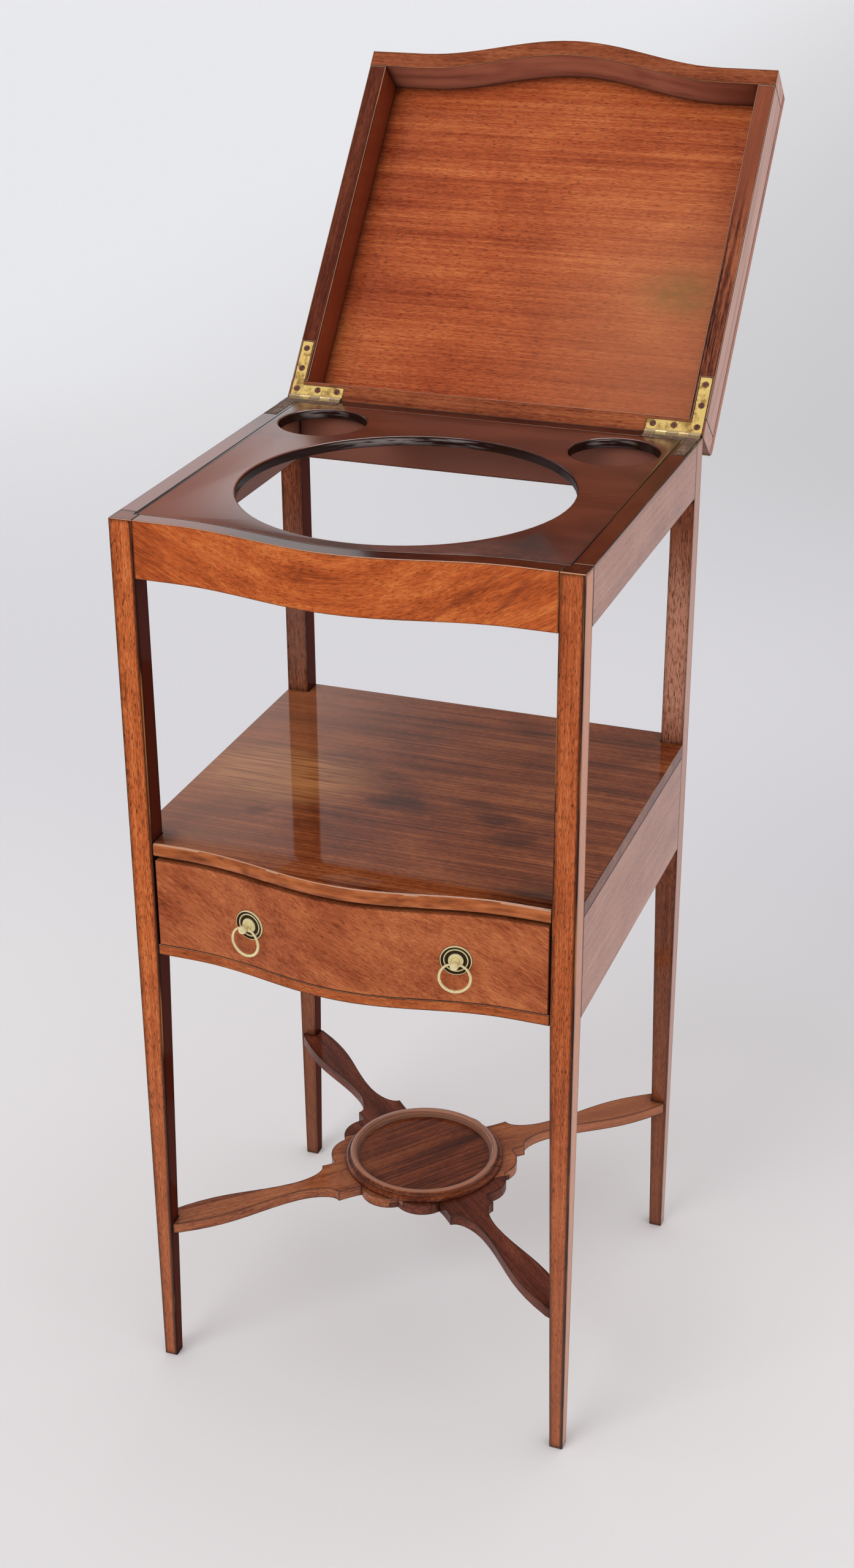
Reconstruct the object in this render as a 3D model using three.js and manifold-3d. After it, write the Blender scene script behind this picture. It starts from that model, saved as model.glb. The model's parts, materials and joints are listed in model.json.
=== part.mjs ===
// Serpentine-front washstand: open tray lid, basin board, stage shelf, one drawer and a cross stretcher.
// Millimetres, X to the right, Y to the rear, Z up.
import * as THREE from 'three';
import { mergeVertices, toCreasedNormals } from 'three/addons/utils/BufferGeometryUtils.js';
import Module from 'manifold-3d';

const wasm = await Module();
wasm.setup();

// Carcass
const width = 381;
const depth = 350;
const baseTop = 808;
const legSize = 20;
const footSize = 12;
const friezeDepth = 48;
const bulgeDepth = 20;
const bulgeFlat = 50.5;
const bulgeSteps = 26;
const fit = 0.3;
const seam = 0.1;
const past = 1;

// Mortise and tenon joints of the frame
const tenonThickness = 6;
const tenonShoulder = 5;
const backTenonThickness = 4.4;
const panelTenons = 2;
const railTenonLength = 6;
const railTenonThickness = 5;
const railTenonMargin = 3;

// Basin board
const boardThickness = 8;
const frontBand = 14.5;
const sideBand = 15.5;
const rearBand = 12.8;
const basinFrontLand = 14;
const basinRearLand = 57.7;
const basinSideLand = 39.5;
const cupRadius = 38;
const cupSideLand = 6.5;
const cupRearLand = 12.2;

// Stage shelf and drawer opening
const shelfTop = 531;
const shelfThickness = 12.5;
const shelfArris = 2.4;
const drawerOpening = 82;
const lowerRailThickness = 10;
const backPanelThickness = 14;
const runnerWidth = 18;
const stopLength = 24;
const stopX = 62;
const stopHeight = 4;
const stopDepth = 10;

// Drawer
const drawerSideGap = 2;
const drawerTopGap = 3.2;
const drawerLift = 0.5;
const drawerFrontThickness = 16;
const drawerSideThickness = 8;
const drawerSideDrop = 11.5;
const drawerBackDrop = 6;
const drawerBackThickness = 8;
const drawerRearGap = 13;
const drawerBottomThickness = 5;
const drawerBottomLift = 6;
const grooveDepth = 3.5;
const frontTails = 3;
const backTails = 2;
const tailLap = 6;
const tailFlare = 1.5;
const pinWidth = 5;

// Ring pulls
const pullSpacing = 176.5;
const pullShift = 5.75;
const pullDrop = 1.2;
const plateRadius = 13;
const ballRadius = 3.6;
const ballStand = 9.8;
const neckRadius = 3;
const ringStand = 6.8;
const ringWire = 1.1;
const ringRadius = 12.65;
const ringHoleRadius = 1.8;
const boltRadius = 2.2;
const nutRadius = 6;
const nutThickness = 3;
const boltProud = 1;

// Lid
const lidOpen = 130;
const lidGap = 0.3;
const lidInside = 36;
const lidPanelThickness = 10;
const lidSideRim = 16;
const lidFrontRim = 15;
const lidRearRadius = 8;

// Strap hinges
const leafWidth = 10;
const leafThickness = 1.5;
const leafInset = 2.2;
const sideArm = 54.5;
const rearArm = 49;
const barrelRadius = 2.5;
const pinRadius = 1;
const knuckles = 5;

// Cross stretcher and its dish
const stretcherTop = 147.5;
const stretcherThickness = 10;
const lapWidth = 116;
const lobeRadius = 26;
const lobeOffset = 16;
const sideLobeProud = 11.5;
const frontLobeProud = 2;
const sideLobeEnd = 52;
const frontLobeEnd = 34;
const earProud = 20;
const earHalf = 22;
const flareLength = 34;
const neckHalf = 7;
const bellyShort = 33;
const bellyHalf = 14.3;
const shoulderDrop = 2.8;
const armPast = 14;
const coveSag = 2.6;
const dishRadius = 73;
const dishRim = 10.2;
const dishHeight = 8.6;
const dishFloor = 2;

// Derived places
const halfW = width / 2;
const halfD = depth / 2;
const innerX = halfW - legSize;
const innerY = halfD - legSize;
const bulgeReach = halfW - bulgeFlat;
const hingeZ = baseTop + lidGap / 2;
const lidFace = baseTop + lidGap;
const lidRimTop = lidFace + lidInside;
const shelfUnder = shelfTop - shelfThickness;
const lowerRailTop = shelfUnder - drawerOpening;
const carcassBottom = lowerRailTop - lowerRailThickness;
const drawerHalf = innerX - drawerSideGap;
const drawerFloor = lowerRailTop + drawerLift;
const drawerTop = shelfUnder - drawerTopGap;
const drawerSideTop = shelfUnder - drawerSideDrop;
const drawerRear = halfD - backPanelThickness - drawerRearGap;
const bottomZ = drawerFloor + drawerBottomLift;
const pullHeight = (drawerFloor + drawerTop) / 2 - pullDrop;
const boardHalf = halfW - sideBand;
const boardFront = -halfD - bulgeDepth + frontBand;
const boardRear = halfD - rearBand;
const basinRoom = boardRear - boardFront - basinFrontLand - basinRearLand;
const basinRadius = Math.min(boardHalf - basinSideLand, basinRoom / 2);
const basinY = boardFront + basinFrontLand + basinRadius;
const cupX = boardHalf - cupSideLand - cupRadius;
const cupY = boardRear - cupRearLand - cupRadius;

// Solid helpers
const solid = (geometry) => {
  const bare = geometry.clone();
  bare.deleteAttribute('normal');
  bare.deleteAttribute('uv');
  const merged = mergeVertices(bare, 1e-4);
  return new wasm.Manifold(new wasm.Mesh({
    numProp: 3,
    vertProperties: new Float32Array(merged.attributes.position.array),
    triVerts: new Uint32Array(merged.index.array),
  }));
};

const geometryOf = (body) => {
  const mesh = body.getMesh();
  const geometry = new THREE.BufferGeometry();
  geometry.setAttribute('position', new THREE.BufferAttribute(new Float32Array(mesh.vertProperties), 3));
  geometry.setIndex(new THREE.BufferAttribute(new Uint32Array(mesh.triVerts), 1));
  return toCreasedNormals(geometry, 0.5);
};

const axisX = new THREE.Vector3(1, 0, 0);
const axisY = new THREE.Vector3(0, 1, 0);
const axisZ = new THREE.Vector3(0, 0, 1);

const box = (x0, x1, y0, y1, z0, z1) => solid(
  new THREE.BoxGeometry(Math.abs(x1 - x0), Math.abs(y1 - y0), Math.abs(z1 - z0))
    .translate((x0 + x1) / 2, (y0 + y1) / 2, (z0 + z1) / 2),
);

const plan = (points, z0, z1) => solid(
  new THREE.ExtrudeGeometry(new THREE.Shape(points), { depth: z1 - z0, bevelEnabled: false })
    .translate(0, 0, z0),
);

const alongY = (points, y0, y1) => solid(
  new THREE.ExtrudeGeometry(new THREE.Shape(points), { depth: y1 - y0, bevelEnabled: false })
    .applyMatrix4(new THREE.Matrix4().makeBasis(axisX, axisZ, axisY.clone().negate()))
    .translate(0, y1, 0),
);

const alongX = (points, x0, x1) => solid(
  new THREE.ExtrudeGeometry(new THREE.Shape(points), { depth: x1 - x0, bevelEnabled: false })
    .applyMatrix4(new THREE.Matrix4().makeBasis(axisY, axisZ, axisX))
    .translate(x0, 0, 0),
);

const rodAlongX = (radius, x0, x1, y, z, sides = 20) => solid(
  new THREE.CylinderGeometry(radius, radius, Math.abs(x1 - x0), sides)
    .rotateZ(Math.PI / 2)
    .translate((x0 + x1) / 2, y, z),
);

const rodAlongZ = (radius, x, y, z0, z1, sides = 32) => solid(
  new THREE.CylinderGeometry(radius, radius, z1 - z0, sides)
    .rotateX(Math.PI / 2)
    .translate(x, y, (z0 + z1) / 2),
);

const point = (x, y) => new THREE.Vector2(x, y);

const arc = (cx, cy, rx, ry, from, to, steps) => Array.from({ length: steps + 1 }, (_, i) => {
  const a = THREE.MathUtils.degToRad(from + (to - from) * i / steps);
  return point(cx + rx * Math.cos(a), cy + ry * Math.sin(a));
});

// Serpentine front line, moved to the rear by an inset
const frontY = (x) => (
  -halfD - (Math.abs(x) < bulgeReach ? bulgeDepth * Math.cos(Math.PI * x / (2 * bulgeReach)) ** 2 : 0)
);
const frontSlope = (x) => Math.atan(
  bulgeDepth * Math.PI / (2 * bulgeReach) * Math.sin(Math.PI * x / bulgeReach),
);
const serpentine = (half, inset) => {
  const line = [point(-half, -halfD + inset)];
  for (let i = 0; i <= bulgeSteps; i += 1) {
    const x = bulgeReach * (2 * i / bulgeSteps - 1);
    line.push(point(x, frontY(x) + inset));
  }
  line.push(point(half, -halfD + inset));
  return line;
};
const serpentinePlan = (half, inset, rearY) => [
  ...serpentine(half, inset), point(half, rearY), point(-half, rearY),
];
const serpentineBand = (half, inset, thickness) => [
  ...serpentine(half, inset), ...serpentine(half, inset + thickness).reverse(),
];

// Every mesh is one named piece
const stand = new THREE.Group();
stand.name = 'washstand';
const colours = { wood: 0x8a4526, board: 0x6d3320, brass: 0xb08d3c, steel: 0x3a3734 };
const addPiece = (parent, name, body, colour = colours.wood, metal = 0) => {
  const material = new THREE.MeshStandardMaterial({ color: colour, metalness: metal, roughness: 0.4 });
  const mesh = new THREE.Mesh(geometryOf(body), material);
  mesh.name = name;
  parent.add(mesh);
};
const sides = [['left', -1], ['right', 1]];

// Rebate that the basin board lies in
const boardSeat = (gap) => plan(
  serpentinePlan(boardHalf - gap, frontBand + gap, boardRear - gap),
  baseTop - boardThickness,
  gap > 0 ? baseTop : baseTop + past,
);

// Flat L of a hinge leaf, seen from above with the lid shut
const leafPlan = (side, grow) => {
  const outer = halfW - leafInset + grow;
  const inner = outer - leafWidth - 2 * grow;
  const front = halfD - sideArm - grow;
  const end = halfW - leafInset - rearArm - grow;
  const rear = halfD - barrelRadius - fit + grow;
  const elbow = rear - leafWidth - 2 * grow + fit;
  const ends = [[outer, rear], [outer, front], [inner, front], [inner, elbow], [end, elbow], [end, rear]];
  return ends.map(([x, y]) => point(side * x, y));
};

// Recess for one leaf and for the barrel it hangs on
const hingeSeat = (side, z0, z1) => {
  const far = side * (halfW - leafInset + fit);
  const near = side * (halfW - leafInset - rearArm - fit);
  return plan(leafPlan(side, fit), z0, z1)
    .add(rodAlongX(barrelRadius + fit, near, far, halfD, hingeZ))
    .add(box(near, far, halfD - barrelRadius - 2 * fit, halfD + past, z0, z1));
};
const baseSeat = (side) => hingeSeat(side, baseTop - leafThickness - fit, baseTop + past);
const lidSeat = (side) => hingeSeat(side, lidFace - past, lidFace + leafThickness + fit);

// Tenons that run into a leg, mitred where the two of one corner meet
const tenonRows = (foot, head, rows) => {
  const height = (head - foot - tenonShoulder * (rows + 1)) / rows;
  return Array.from({ length: rows }, (_, i) => {
    const z = foot + tenonShoulder + i * (height + tenonShoulder);
    return [z, z + height];
  });
};
const tenonBody = ({ sx, sy, alongWidth, railThickness, thickness, rows }, grow) => {
  const near = (railThickness - thickness) / 2 - grow;
  const far = (railThickness + thickness) / 2 + grow;
  const mitre = grow > 0 ? 0 : fit;
  const outline = [
    [legSize + past, near], [near + mitre, near], [far + mitre, far], [legSize + past, far],
  ];
  const corner = outline.map(([u, v]) => (alongWidth
    ? point(sx * (halfW - u), sy * (halfD - v))
    : point(sx * (halfW - v), sy * (halfD - u))));
  return rows.map(([z0, z1]) => plan(corner, z0 - grow, z1 + grow)).reduce((body, row) => body.add(row));
};
const friezeFoot = baseTop - friezeDepth;
const friezeRows = tenonRows(friezeFoot, baseTop - boardThickness, 1);
const panelRows = tenonRows(lowerRailTop, shelfUnder, panelTenons);
const tenon = (sx, sy, alongWidth, railThickness, thickness, rows) => (
  { sx, sy, alongWidth, railThickness, thickness, rows }
);
const friezeTenon = (sx, sy, alongWidth) => tenon(sx, sy, alongWidth, legSize, tenonThickness, friezeRows);
const sideTenon = (sx, sy) => tenon(sx, sy, false, legSize, tenonThickness, panelRows);
const backTenon = (sx) => tenon(sx, 1, true, backPanelThickness, backTenonThickness, panelRows);
const railTenon = (sx, grow) => {
  const middle = (carcassBottom + lowerRailTop) / 2;
  return box(
    sx * (innerX - past), sx * (innerX + railTenonLength + grow),
    -halfD + railTenonMargin - grow, -innerY - railTenonMargin + grow,
    middle - railTenonThickness / 2 - grow, middle + railTenonThickness / 2 + grow,
  );
};
const withTenons = (body, list) => list.reduce((sum, one) => sum.add(tenonBody(one, 0)), body);
const mortised = (body, list) => list.reduce((rest, one) => rest.subtract(tenonBody(one, fit)), body);

// Legs, square above the drawer and tapered on the two inner faces below it
const legSolid = (sx, sy, grow = 0) => {
  const profile = (sign, half) => [
    point(sign * half, 0), point(sign * (half - footSize - grow), 0),
    point(sign * (half - legSize - grow), carcassBottom),
    point(sign * (half - legSize - grow), baseTop), point(sign * half, baseTop),
  ];
  return alongY(profile(sx, halfW), -halfD, halfD).intersect(alongX(profile(sy, halfD), -halfW, halfW));
};
for (const [side, sx] of sides) {
  for (const [end, sy] of [['front', -1], ['rear', 1]]) {
    const entering = [friezeTenon(sx, sy, true), friezeTenon(sx, sy, false), sideTenon(sx, sy)];
    const body = mortised(legSolid(sx, sy).subtract(boardSeat(0)), entering);
    addPiece(stand, `leg_${end}_${side}`, sy > 0
      ? mortised(body, [backTenon(sx)]).subtract(baseSeat(sx))
      : body.subtract(railTenon(sx, fit)));
  }
}

// Frieze rails round the basin board
addPiece(stand, 'frieze_front', withTenons(
  plan(serpentineBand(innerX, 0, legSize), friezeFoot, baseTop).subtract(boardSeat(0)),
  [friezeTenon(-1, -1, true), friezeTenon(1, -1, true)],
));
addPiece(stand, 'frieze_back', withTenons(
  box(-innerX, innerX, innerY, halfD, friezeFoot, baseTop).subtract(boardSeat(0)),
  [friezeTenon(-1, 1, true), friezeTenon(1, 1, true)],
).subtract(baseSeat(-1)).subtract(baseSeat(1)));
for (const [side, sx] of sides) {
  addPiece(stand, `frieze_${side}`, withTenons(
    box(sx * innerX, sx * halfW, -innerY, innerY, friezeFoot, baseTop).subtract(boardSeat(0)),
    [friezeTenon(sx, -1, false), friezeTenon(sx, 1, false)],
  ).subtract(baseSeat(sx)));
}

// Basin board with one basin hole and two cup holes
const holeThrough = [baseTop - boardThickness - past, baseTop + past];
addPiece(stand, 'basin_board', boardSeat(fit)
  .subtract(rodAlongZ(basinRadius, 0, basinY, ...holeThrough, 72))
  .subtract(rodAlongZ(cupRadius, -cupX, cupY, ...holeThrough, 40))
  .subtract(rodAlongZ(cupRadius, cupX, cupY, ...holeThrough, 40)), colours.board);

// Stage shelf, rounded along the front and notched round the four legs
const shelfSlab = solid(new THREE.ExtrudeGeometry(
  new THREE.Shape(serpentinePlan(halfW + legSize, 0, halfD + legSize)),
  {
    depth: shelfThickness - 2 * shelfArris, bevelEnabled: true, bevelSegments: 3,
    bevelThickness: shelfArris, bevelSize: shelfArris, bevelOffset: -shelfArris,
  },
).translate(0, 0, shelfUnder + shelfArris));
let shelf = shelfSlab.intersect(
  box(-halfW, halfW, -halfD - bulgeDepth - past, halfD, shelfUnder, shelfTop),
);
for (const sx of [-1, 1]) {
  for (const sy of [-1, 1]) {
    shelf = shelf.subtract(box(
      sx * (innerX - fit), sx * (halfW + past), sy * (innerY - fit), sy * (halfD + past),
      shelfUnder - past, shelfTop + past,
    ));
  }
}
addPiece(stand, 'shelf_board', shelf);

// Drawer carcass
addPiece(stand, 'drawer_rail', plan(serpentinePlan(innerX, 0, -innerY), carcassBottom, lowerRailTop)
  .add(railTenon(-1, 0)).add(railTenon(1, 0)));
addPiece(stand, 'back_panel', withTenons(
  box(-innerX, innerX, halfD - backPanelThickness, halfD, carcassBottom, shelfUnder),
  [backTenon(-1), backTenon(1)],
));
for (const [side, sx] of sides) {
  addPiece(stand, `side_panel_${side}`, withTenons(
    box(sx * innerX, sx * halfW, -innerY, innerY, carcassBottom, shelfUnder),
    [sideTenon(sx, -1), sideTenon(sx, 1)],
  ));
  addPiece(stand, `drawer_runner_${side}`, box(
    sx * (innerX - runnerWidth), sx * innerX, -innerY, halfD - backPanelThickness,
    carcassBottom, lowerRailTop,
  ));
  const stopFront = frontY(stopX + stopLength / 2) + drawerFrontThickness + fit;
  addPiece(stand, `drawer_stop_${side}`, box(
    sx * stopX - stopLength / 2, sx * stopX + stopLength / 2, stopFront, stopFront + stopDepth,
    lowerRailTop, lowerRailTop + stopHeight,
  ));
}

// Drawer box: sides dovetailed into the front and back, and the bottom let into a groove
const drawer = new THREE.Group();
drawer.name = 'drawer';
stand.add(drawer);
const sideFront = -halfD + drawerFrontThickness;
const tailRow = (sx, rows, foot, head, rootY, tipY, grow) => {
  const pitch = (head - foot) / rows;
  const tip = (pitch - pinWidth) / 2 + grow;
  const reach = Math.sign(tipY - rootY);
  const ends = [sx * (drawerHalf - drawerSideThickness - grow), sx * (drawerHalf + Math.max(grow, 0))];
  const [x0, x1] = [Math.min(...ends), Math.max(...ends)];
  return Array.from({ length: rows }, (_, i) => foot + pitch * (i + 0.5))
    .map((z) => alongX([
      point(rootY - reach * past, z - tip + tailFlare), point(rootY, z - tip + tailFlare),
      point(tipY + reach * grow, z - tip), point(tipY + reach * grow, z + tip),
      point(rootY, z + tip - tailFlare), point(rootY - reach * past, z + tip - tailFlare),
    ], x0, x1))
    .reduce((body, tail) => body.add(tail));
};
const frontTailRow = (sx, grow) => tailRow(
  sx, frontTails, drawerFloor, drawerSideTop, sideFront, -halfD + tailLap, grow,
);
const backFoot = bottomZ + drawerBottomThickness;
const backHead = drawerSideTop - drawerBackDrop;
const backFront = drawerRear - drawerBackThickness;
const drawerBackSolid = (grow) => sides.reduce(
  (body, [, sx]) => body.subtract(tailRow(
    sx, backTails, backFoot, backHead, backFront, drawerRear + (grow > 0 ? past + grow : past), -grow,
  )),
  box(
    -drawerHalf - grow, drawerHalf + grow, backFront - grow, drawerRear + grow,
    backFoot - grow, backHead + grow,
  ),
);
const drawerBottomSolid = (grow) => plan(
  serpentinePlan(
    drawerHalf - drawerSideThickness + grooveDepth - fit + grow,
    drawerFrontThickness - grooveDepth + fit - grow,
    drawerRear,
  ),
  bottomZ - grow / 2, bottomZ + drawerBottomThickness + grow / 2,
);
const pulls = sides.map(([side, sx]) => {
  const x = sx * pullSpacing / 2 + pullShift;
  return { side, x, y: frontY(x), turn: frontSlope(x) };
});
const onFront = (pull, geometry) => geometry
  .rotateX(Math.PI).rotateZ(pull.turn).translate(pull.x, pull.y, pullHeight);
const pullSeat = (pull) => {
  const across = plateRadius + fit;
  const boltBore = boltRadius + fit;
  const cup = new THREE.CylinderGeometry(across, across, bulgeDepth, 28)
    .translate(0, bulgeDepth / 2 - fit, 0);
  const bore = new THREE.CylinderGeometry(boltBore, boltBore, 4 * drawerFrontThickness, 16);
  return solid(onFront(pull, cup)).add(solid(onFront(pull, bore)));
};
addPiece(drawer, 'drawer_front', pulls.reduce(
  (body, pull) => body.subtract(pullSeat(pull)),
  plan(serpentineBand(drawerHalf, 0, drawerFrontThickness), drawerFloor, drawerTop)
    .subtract(drawerBottomSolid(fit))
    .subtract(frontTailRow(-1, fit))
    .subtract(frontTailRow(1, fit)),
));
for (const [side, sx] of sides) {
  addPiece(drawer, `drawer_side_${side}`, box(
    sx * (drawerHalf - drawerSideThickness), sx * drawerHalf, sideFront, drawerRear,
    drawerFloor, drawerSideTop,
  ).add(frontTailRow(sx, 0)).subtract(drawerBottomSolid(fit)).subtract(drawerBackSolid(fit)));
}
addPiece(drawer, 'drawer_back', drawerBackSolid(0));
addPiece(drawer, 'drawer_bottom', drawerBottomSolid(0));

// Ring pulls: moulded plate with a pierced stud, a ring through it and a nut behind the drawer front
const boltEnd = -drawerFrontThickness - nutThickness - fit - boltProud;
const plateAt = (share, rise) => point(plateRadius * share, rise);
const plateBead = (share, rise) => arc(plateRadius * share, rise, plateRadius / 10, 0.9, 0, 180, 4);
const plateProfile = [
  point(0, boltEnd), point(boltRadius, boltEnd), point(boltRadius, 0), point(plateRadius, 0),
  plateAt(1, 0.6), ...plateBead(0.88, 0.8), plateAt(0.72, 0.9), ...plateBead(0.585, 1),
  plateAt(0.43, 1), plateAt(0.35, 2.4), point(neckRadius, 3),
  point(neckRadius, ballStand - 2),
  ...arc(0, ballStand, ballRadius, ballRadius, -32, 90, 6).slice(0, -1),
  point(0, ballStand + ballRadius),
];
const ringHole = new THREE.CylinderGeometry(ringHoleRadius, ringHoleRadius, 4 * ballRadius, 16)
  .rotateZ(Math.PI / 2).translate(0, ringStand, 0);
const ringSag = ringRadius - Math.sqrt(ringRadius ** 2 - ballRadius ** 2);
for (const pull of pulls) {
  const plate = new THREE.LatheGeometry(plateProfile, 28);
  addPiece(drawer, `pull_plate_${pull.side}`, solid(onFront(pull, plate))
    .subtract(solid(onFront(pull, ringHole.clone()))), colours.brass, 1);
  const ring = new THREE.TorusGeometry(ringRadius, ringWire, 8, 36)
    .rotateX(Math.PI / 2).translate(0, ringStand, ringRadius - ringSag / 2);
  addPiece(stand, `pull_ring_${pull.side}`, solid(onFront(pull, ring)), colours.brass, 1);
  const nutAt = -drawerFrontThickness * Math.cos(pull.turn) - fit - nutThickness / 2;
  const nut = new THREE.CylinderGeometry(nutRadius, nutRadius, nutThickness, 4).translate(0, nutAt, 0);
  const nutBore = boltRadius + seam;
  const bore = new THREE.CylinderGeometry(nutBore, nutBore, 3 * nutThickness, 16).translate(0, nutAt, 0);
  addPiece(drawer, `pull_nut_${pull.side}`, solid(onFront(pull, nut))
    .subtract(solid(onFront(pull, bore))), colours.brass, 1);
}

// Lid, drawn shut on the base about the hinge axis and then turned open
const lid = new THREE.Group();
lid.name = 'lid';
lid.position.set(0, halfD, hingeZ);
lid.rotation.x = -THREE.MathUtils.degToRad(lidOpen);
stand.add(lid);
const addLidPiece = (name, body, colour, metal) => (
  addPiece(lid, name, body.translate([0, -halfD, -hingeZ]), colour, metal)
);
const lidTop = lidRimTop + lidPanelThickness;
const lidSection = [
  point(-halfD - bulgeDepth - past, lidRimTop), point(halfD, lidRimTop),
  ...arc(halfD - lidRearRadius, lidTop - lidRearRadius, lidRearRadius, lidRearRadius, 0, 90, 6),
  point(-halfD - bulgeDepth - past, lidTop),
];
addLidPiece('lid_panel', plan(serpentinePlan(halfW, 0, halfD), lidRimTop + seam, lidTop)
  .intersect(alongX(lidSection, -halfW - past, halfW + past)));
addLidPiece('lid_rim_front', plan(serpentineBand(halfW, 0, lidFrontRim), lidFace, lidRimTop));
addLidPiece('lid_rim_rear', box(-halfW, halfW, halfD - lidSideRim, halfD, lidFace, lidRimTop)
  .subtract(lidSeat(-1)).subtract(lidSeat(1)));
for (const [side, sx] of sides) {
  addLidPiece(`lid_rim_${side}`, box(
    sx * (halfW - lidSideRim), sx * halfW, -halfD + lidFrontRim + seam, halfD - lidSideRim - seam,
    lidFace, lidRimTop,
  ).subtract(lidSeat(sx)));
}

// Strap hinges: two flat L leaves with interleaved knuckles on a steel pin
const knuckleLength = rearArm / knuckles;
const leafBody = (side, z0, z1, first) => {
  const start = halfW - leafInset - rearArm;
  let body = plan(leafPlan(side, 0), z0, z1);
  for (let i = first; i < knuckles; i += 2) {
    const x0 = side * (start + i * knuckleLength + fit / 2);
    const x1 = side * (start + (i + 1) * knuckleLength - fit / 2);
    body = body.add(rodAlongX(barrelRadius, x0, x1, halfD, hingeZ))
      .add(box(x0, x1, halfD - barrelRadius - 2 * fit, halfD - pinRadius - fit, z0, z1));
  }
  return body.subtract(rodAlongX(
    pinRadius + seam, side * (start - past), side * (halfW + past), halfD, hingeZ, 16,
  ));
};
for (const [side, sx] of sides) {
  const baseLeaf = leafBody(sx, baseTop - leafThickness, baseTop, 0);
  addPiece(stand, `hinge_base_leaf_${side}`, baseLeaf, colours.brass, 1);
  addPiece(stand, `hinge_pin_${side}`, rodAlongX(
    pinRadius, sx * (halfW - leafInset - rearArm), sx * (halfW - leafInset), halfD, hingeZ, 16,
  ), colours.steel, 1);
  const lidLeaf = leafBody(sx, lidFace, lidFace + leafThickness, 1);
  addLidPiece(`hinge_lid_leaf_${side}`, lidLeaf, colours.brass, 1);
}

// Quarter outline of the cross stretcher, from the side cusp round one arm to the front cusp
const legAtStretcher = footSize + (legSize - footSize) * stretcherTop / carcassBottom;
const cornerX = halfW - legAtStretcher;
const cornerY = halfD - legAtStretcher;
const armAngle = Math.atan2(cornerY, cornerX);
const armReach = Math.hypot(cornerX, cornerY);
const sideLobe = [dishRadius + sideLobeProud - lobeRadius, lobeOffset];
const frontLobe = [lobeOffset, dishRadius + frontLobeProud - lobeRadius];
const earAt = dishRadius + earProud;
const neckAt = earAt + flareLength;
const bellyAt = armReach - bellyShort;
const armPoint = (s, n) => point(
  s * Math.cos(armAngle) - n * Math.sin(armAngle), s * Math.sin(armAngle) + n * Math.cos(armAngle),
);
const armHalf = (s) => (s < bellyAt
  ? neckHalf + (bellyHalf - neckHalf) * (1 - Math.cos(Math.PI * (s - neckAt) / (bellyAt - neckAt))) / 2
  : bellyHalf - shoulderDrop * ((s - bellyAt) / bellyShort) ** 2);
const armEdge = () => {
  const edge = [];
  for (let t = 0; t <= 8; t += 1) {
    const a = Math.PI / 2 * t / 8;
    edge.push([neckAt - flareLength * Math.cos(a), earHalf - (earHalf - neckHalf) * Math.sin(a)]);
  }
  const waves = 9;
  for (let i = 1; i < waves; i += 1) {
    const s = neckAt + (armReach - neckAt) * i / waves;
    edge.push([s, armHalf(s)]);
  }
  for (let t = 0; t <= 5; t += 1) {
    const a = Math.PI / 2 * t / 5;
    edge.push([armReach + armPast * Math.sin(a), armHalf(armReach) * Math.cos(a)]);
  }
  return edge;
};
const cove = (from, to, sag) => [1, 2, 3].map((i) => {
  const t = i / 4;
  const bend = 4 * t * (1 - t) * sag;
  const mix = from.clone().lerp(to, t);
  return mix.addScaledVector(mix.clone().normalize(), -bend);
});
const quarter = () => {
  const cusp = THREE.MathUtils.radToDeg(Math.asin(lobeOffset / lobeRadius));
  const side = arc(...sideLobe, lobeRadius, lobeRadius, -cusp, sideLobeEnd, 9);
  const front = arc(...frontLobe, lobeRadius, lobeRadius, frontLobeEnd, 90 + cusp, 9);
  const edge = armEdge();
  const near = edge.map(([s, n]) => armPoint(s, -n));
  const far = edge.slice(0, -1).reverse().map(([s, n]) => armPoint(s, n));
  return [
    ...side, ...cove(side.at(-1), near[0], coveSag), ...near, ...far,
    ...cove(far.at(-1), front[0], coveSag), ...front.slice(0, -1),
  ];
};
const turned = (points, sx, sy) => points.map((p) => point(sx * p.x, sy * p.y));
const crossOutline = () => {
  const q = quarter();
  const tip = point(0, frontLobe[1] + Math.sqrt(lobeRadius ** 2 - lobeOffset ** 2));
  return [
    ...q, tip, ...turned(q, -1, 1).reverse(),
    ...turned(q, -1, -1).slice(1), turned([tip], 1, -1)[0], ...turned(q, 1, -1).reverse().slice(0, -1),
  ];
};
const lapStrip = (turn, z0, z1, grow = 0) => solid(
  new THREE.BoxGeometry(3 * armReach, lapWidth + 2 * grow, z1 - z0)
    .rotateZ(turn * armAngle).translate(0, 0, (z0 + z1) / 2),
);
const stretcherFoot = stretcherTop - stretcherThickness;
const lapLevel = stretcherTop - stretcherThickness / 2;
const cross = [[-1, -1], [-1, 1], [1, -1], [1, 1]].reduce(
  (body, [sx, sy]) => body.subtract(legSolid(sx, sy, fit)),
  plan(crossOutline(), stretcherFoot, stretcherTop),
);
const lapFrom = stretcherFoot - past;
const lapTo = stretcherTop + past;
addPiece(stand, 'stretcher_over', cross.intersect(lapStrip(1, lapFrom, lapTo))
  .subtract(lapStrip(-1, lapFrom, lapLevel, fit / 2)));
addPiece(stand, 'stretcher_under', cross.intersect(lapStrip(-1, lapFrom, lapTo))
  .subtract(lapStrip(1, lapLevel, lapTo, fit / 2)));

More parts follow.
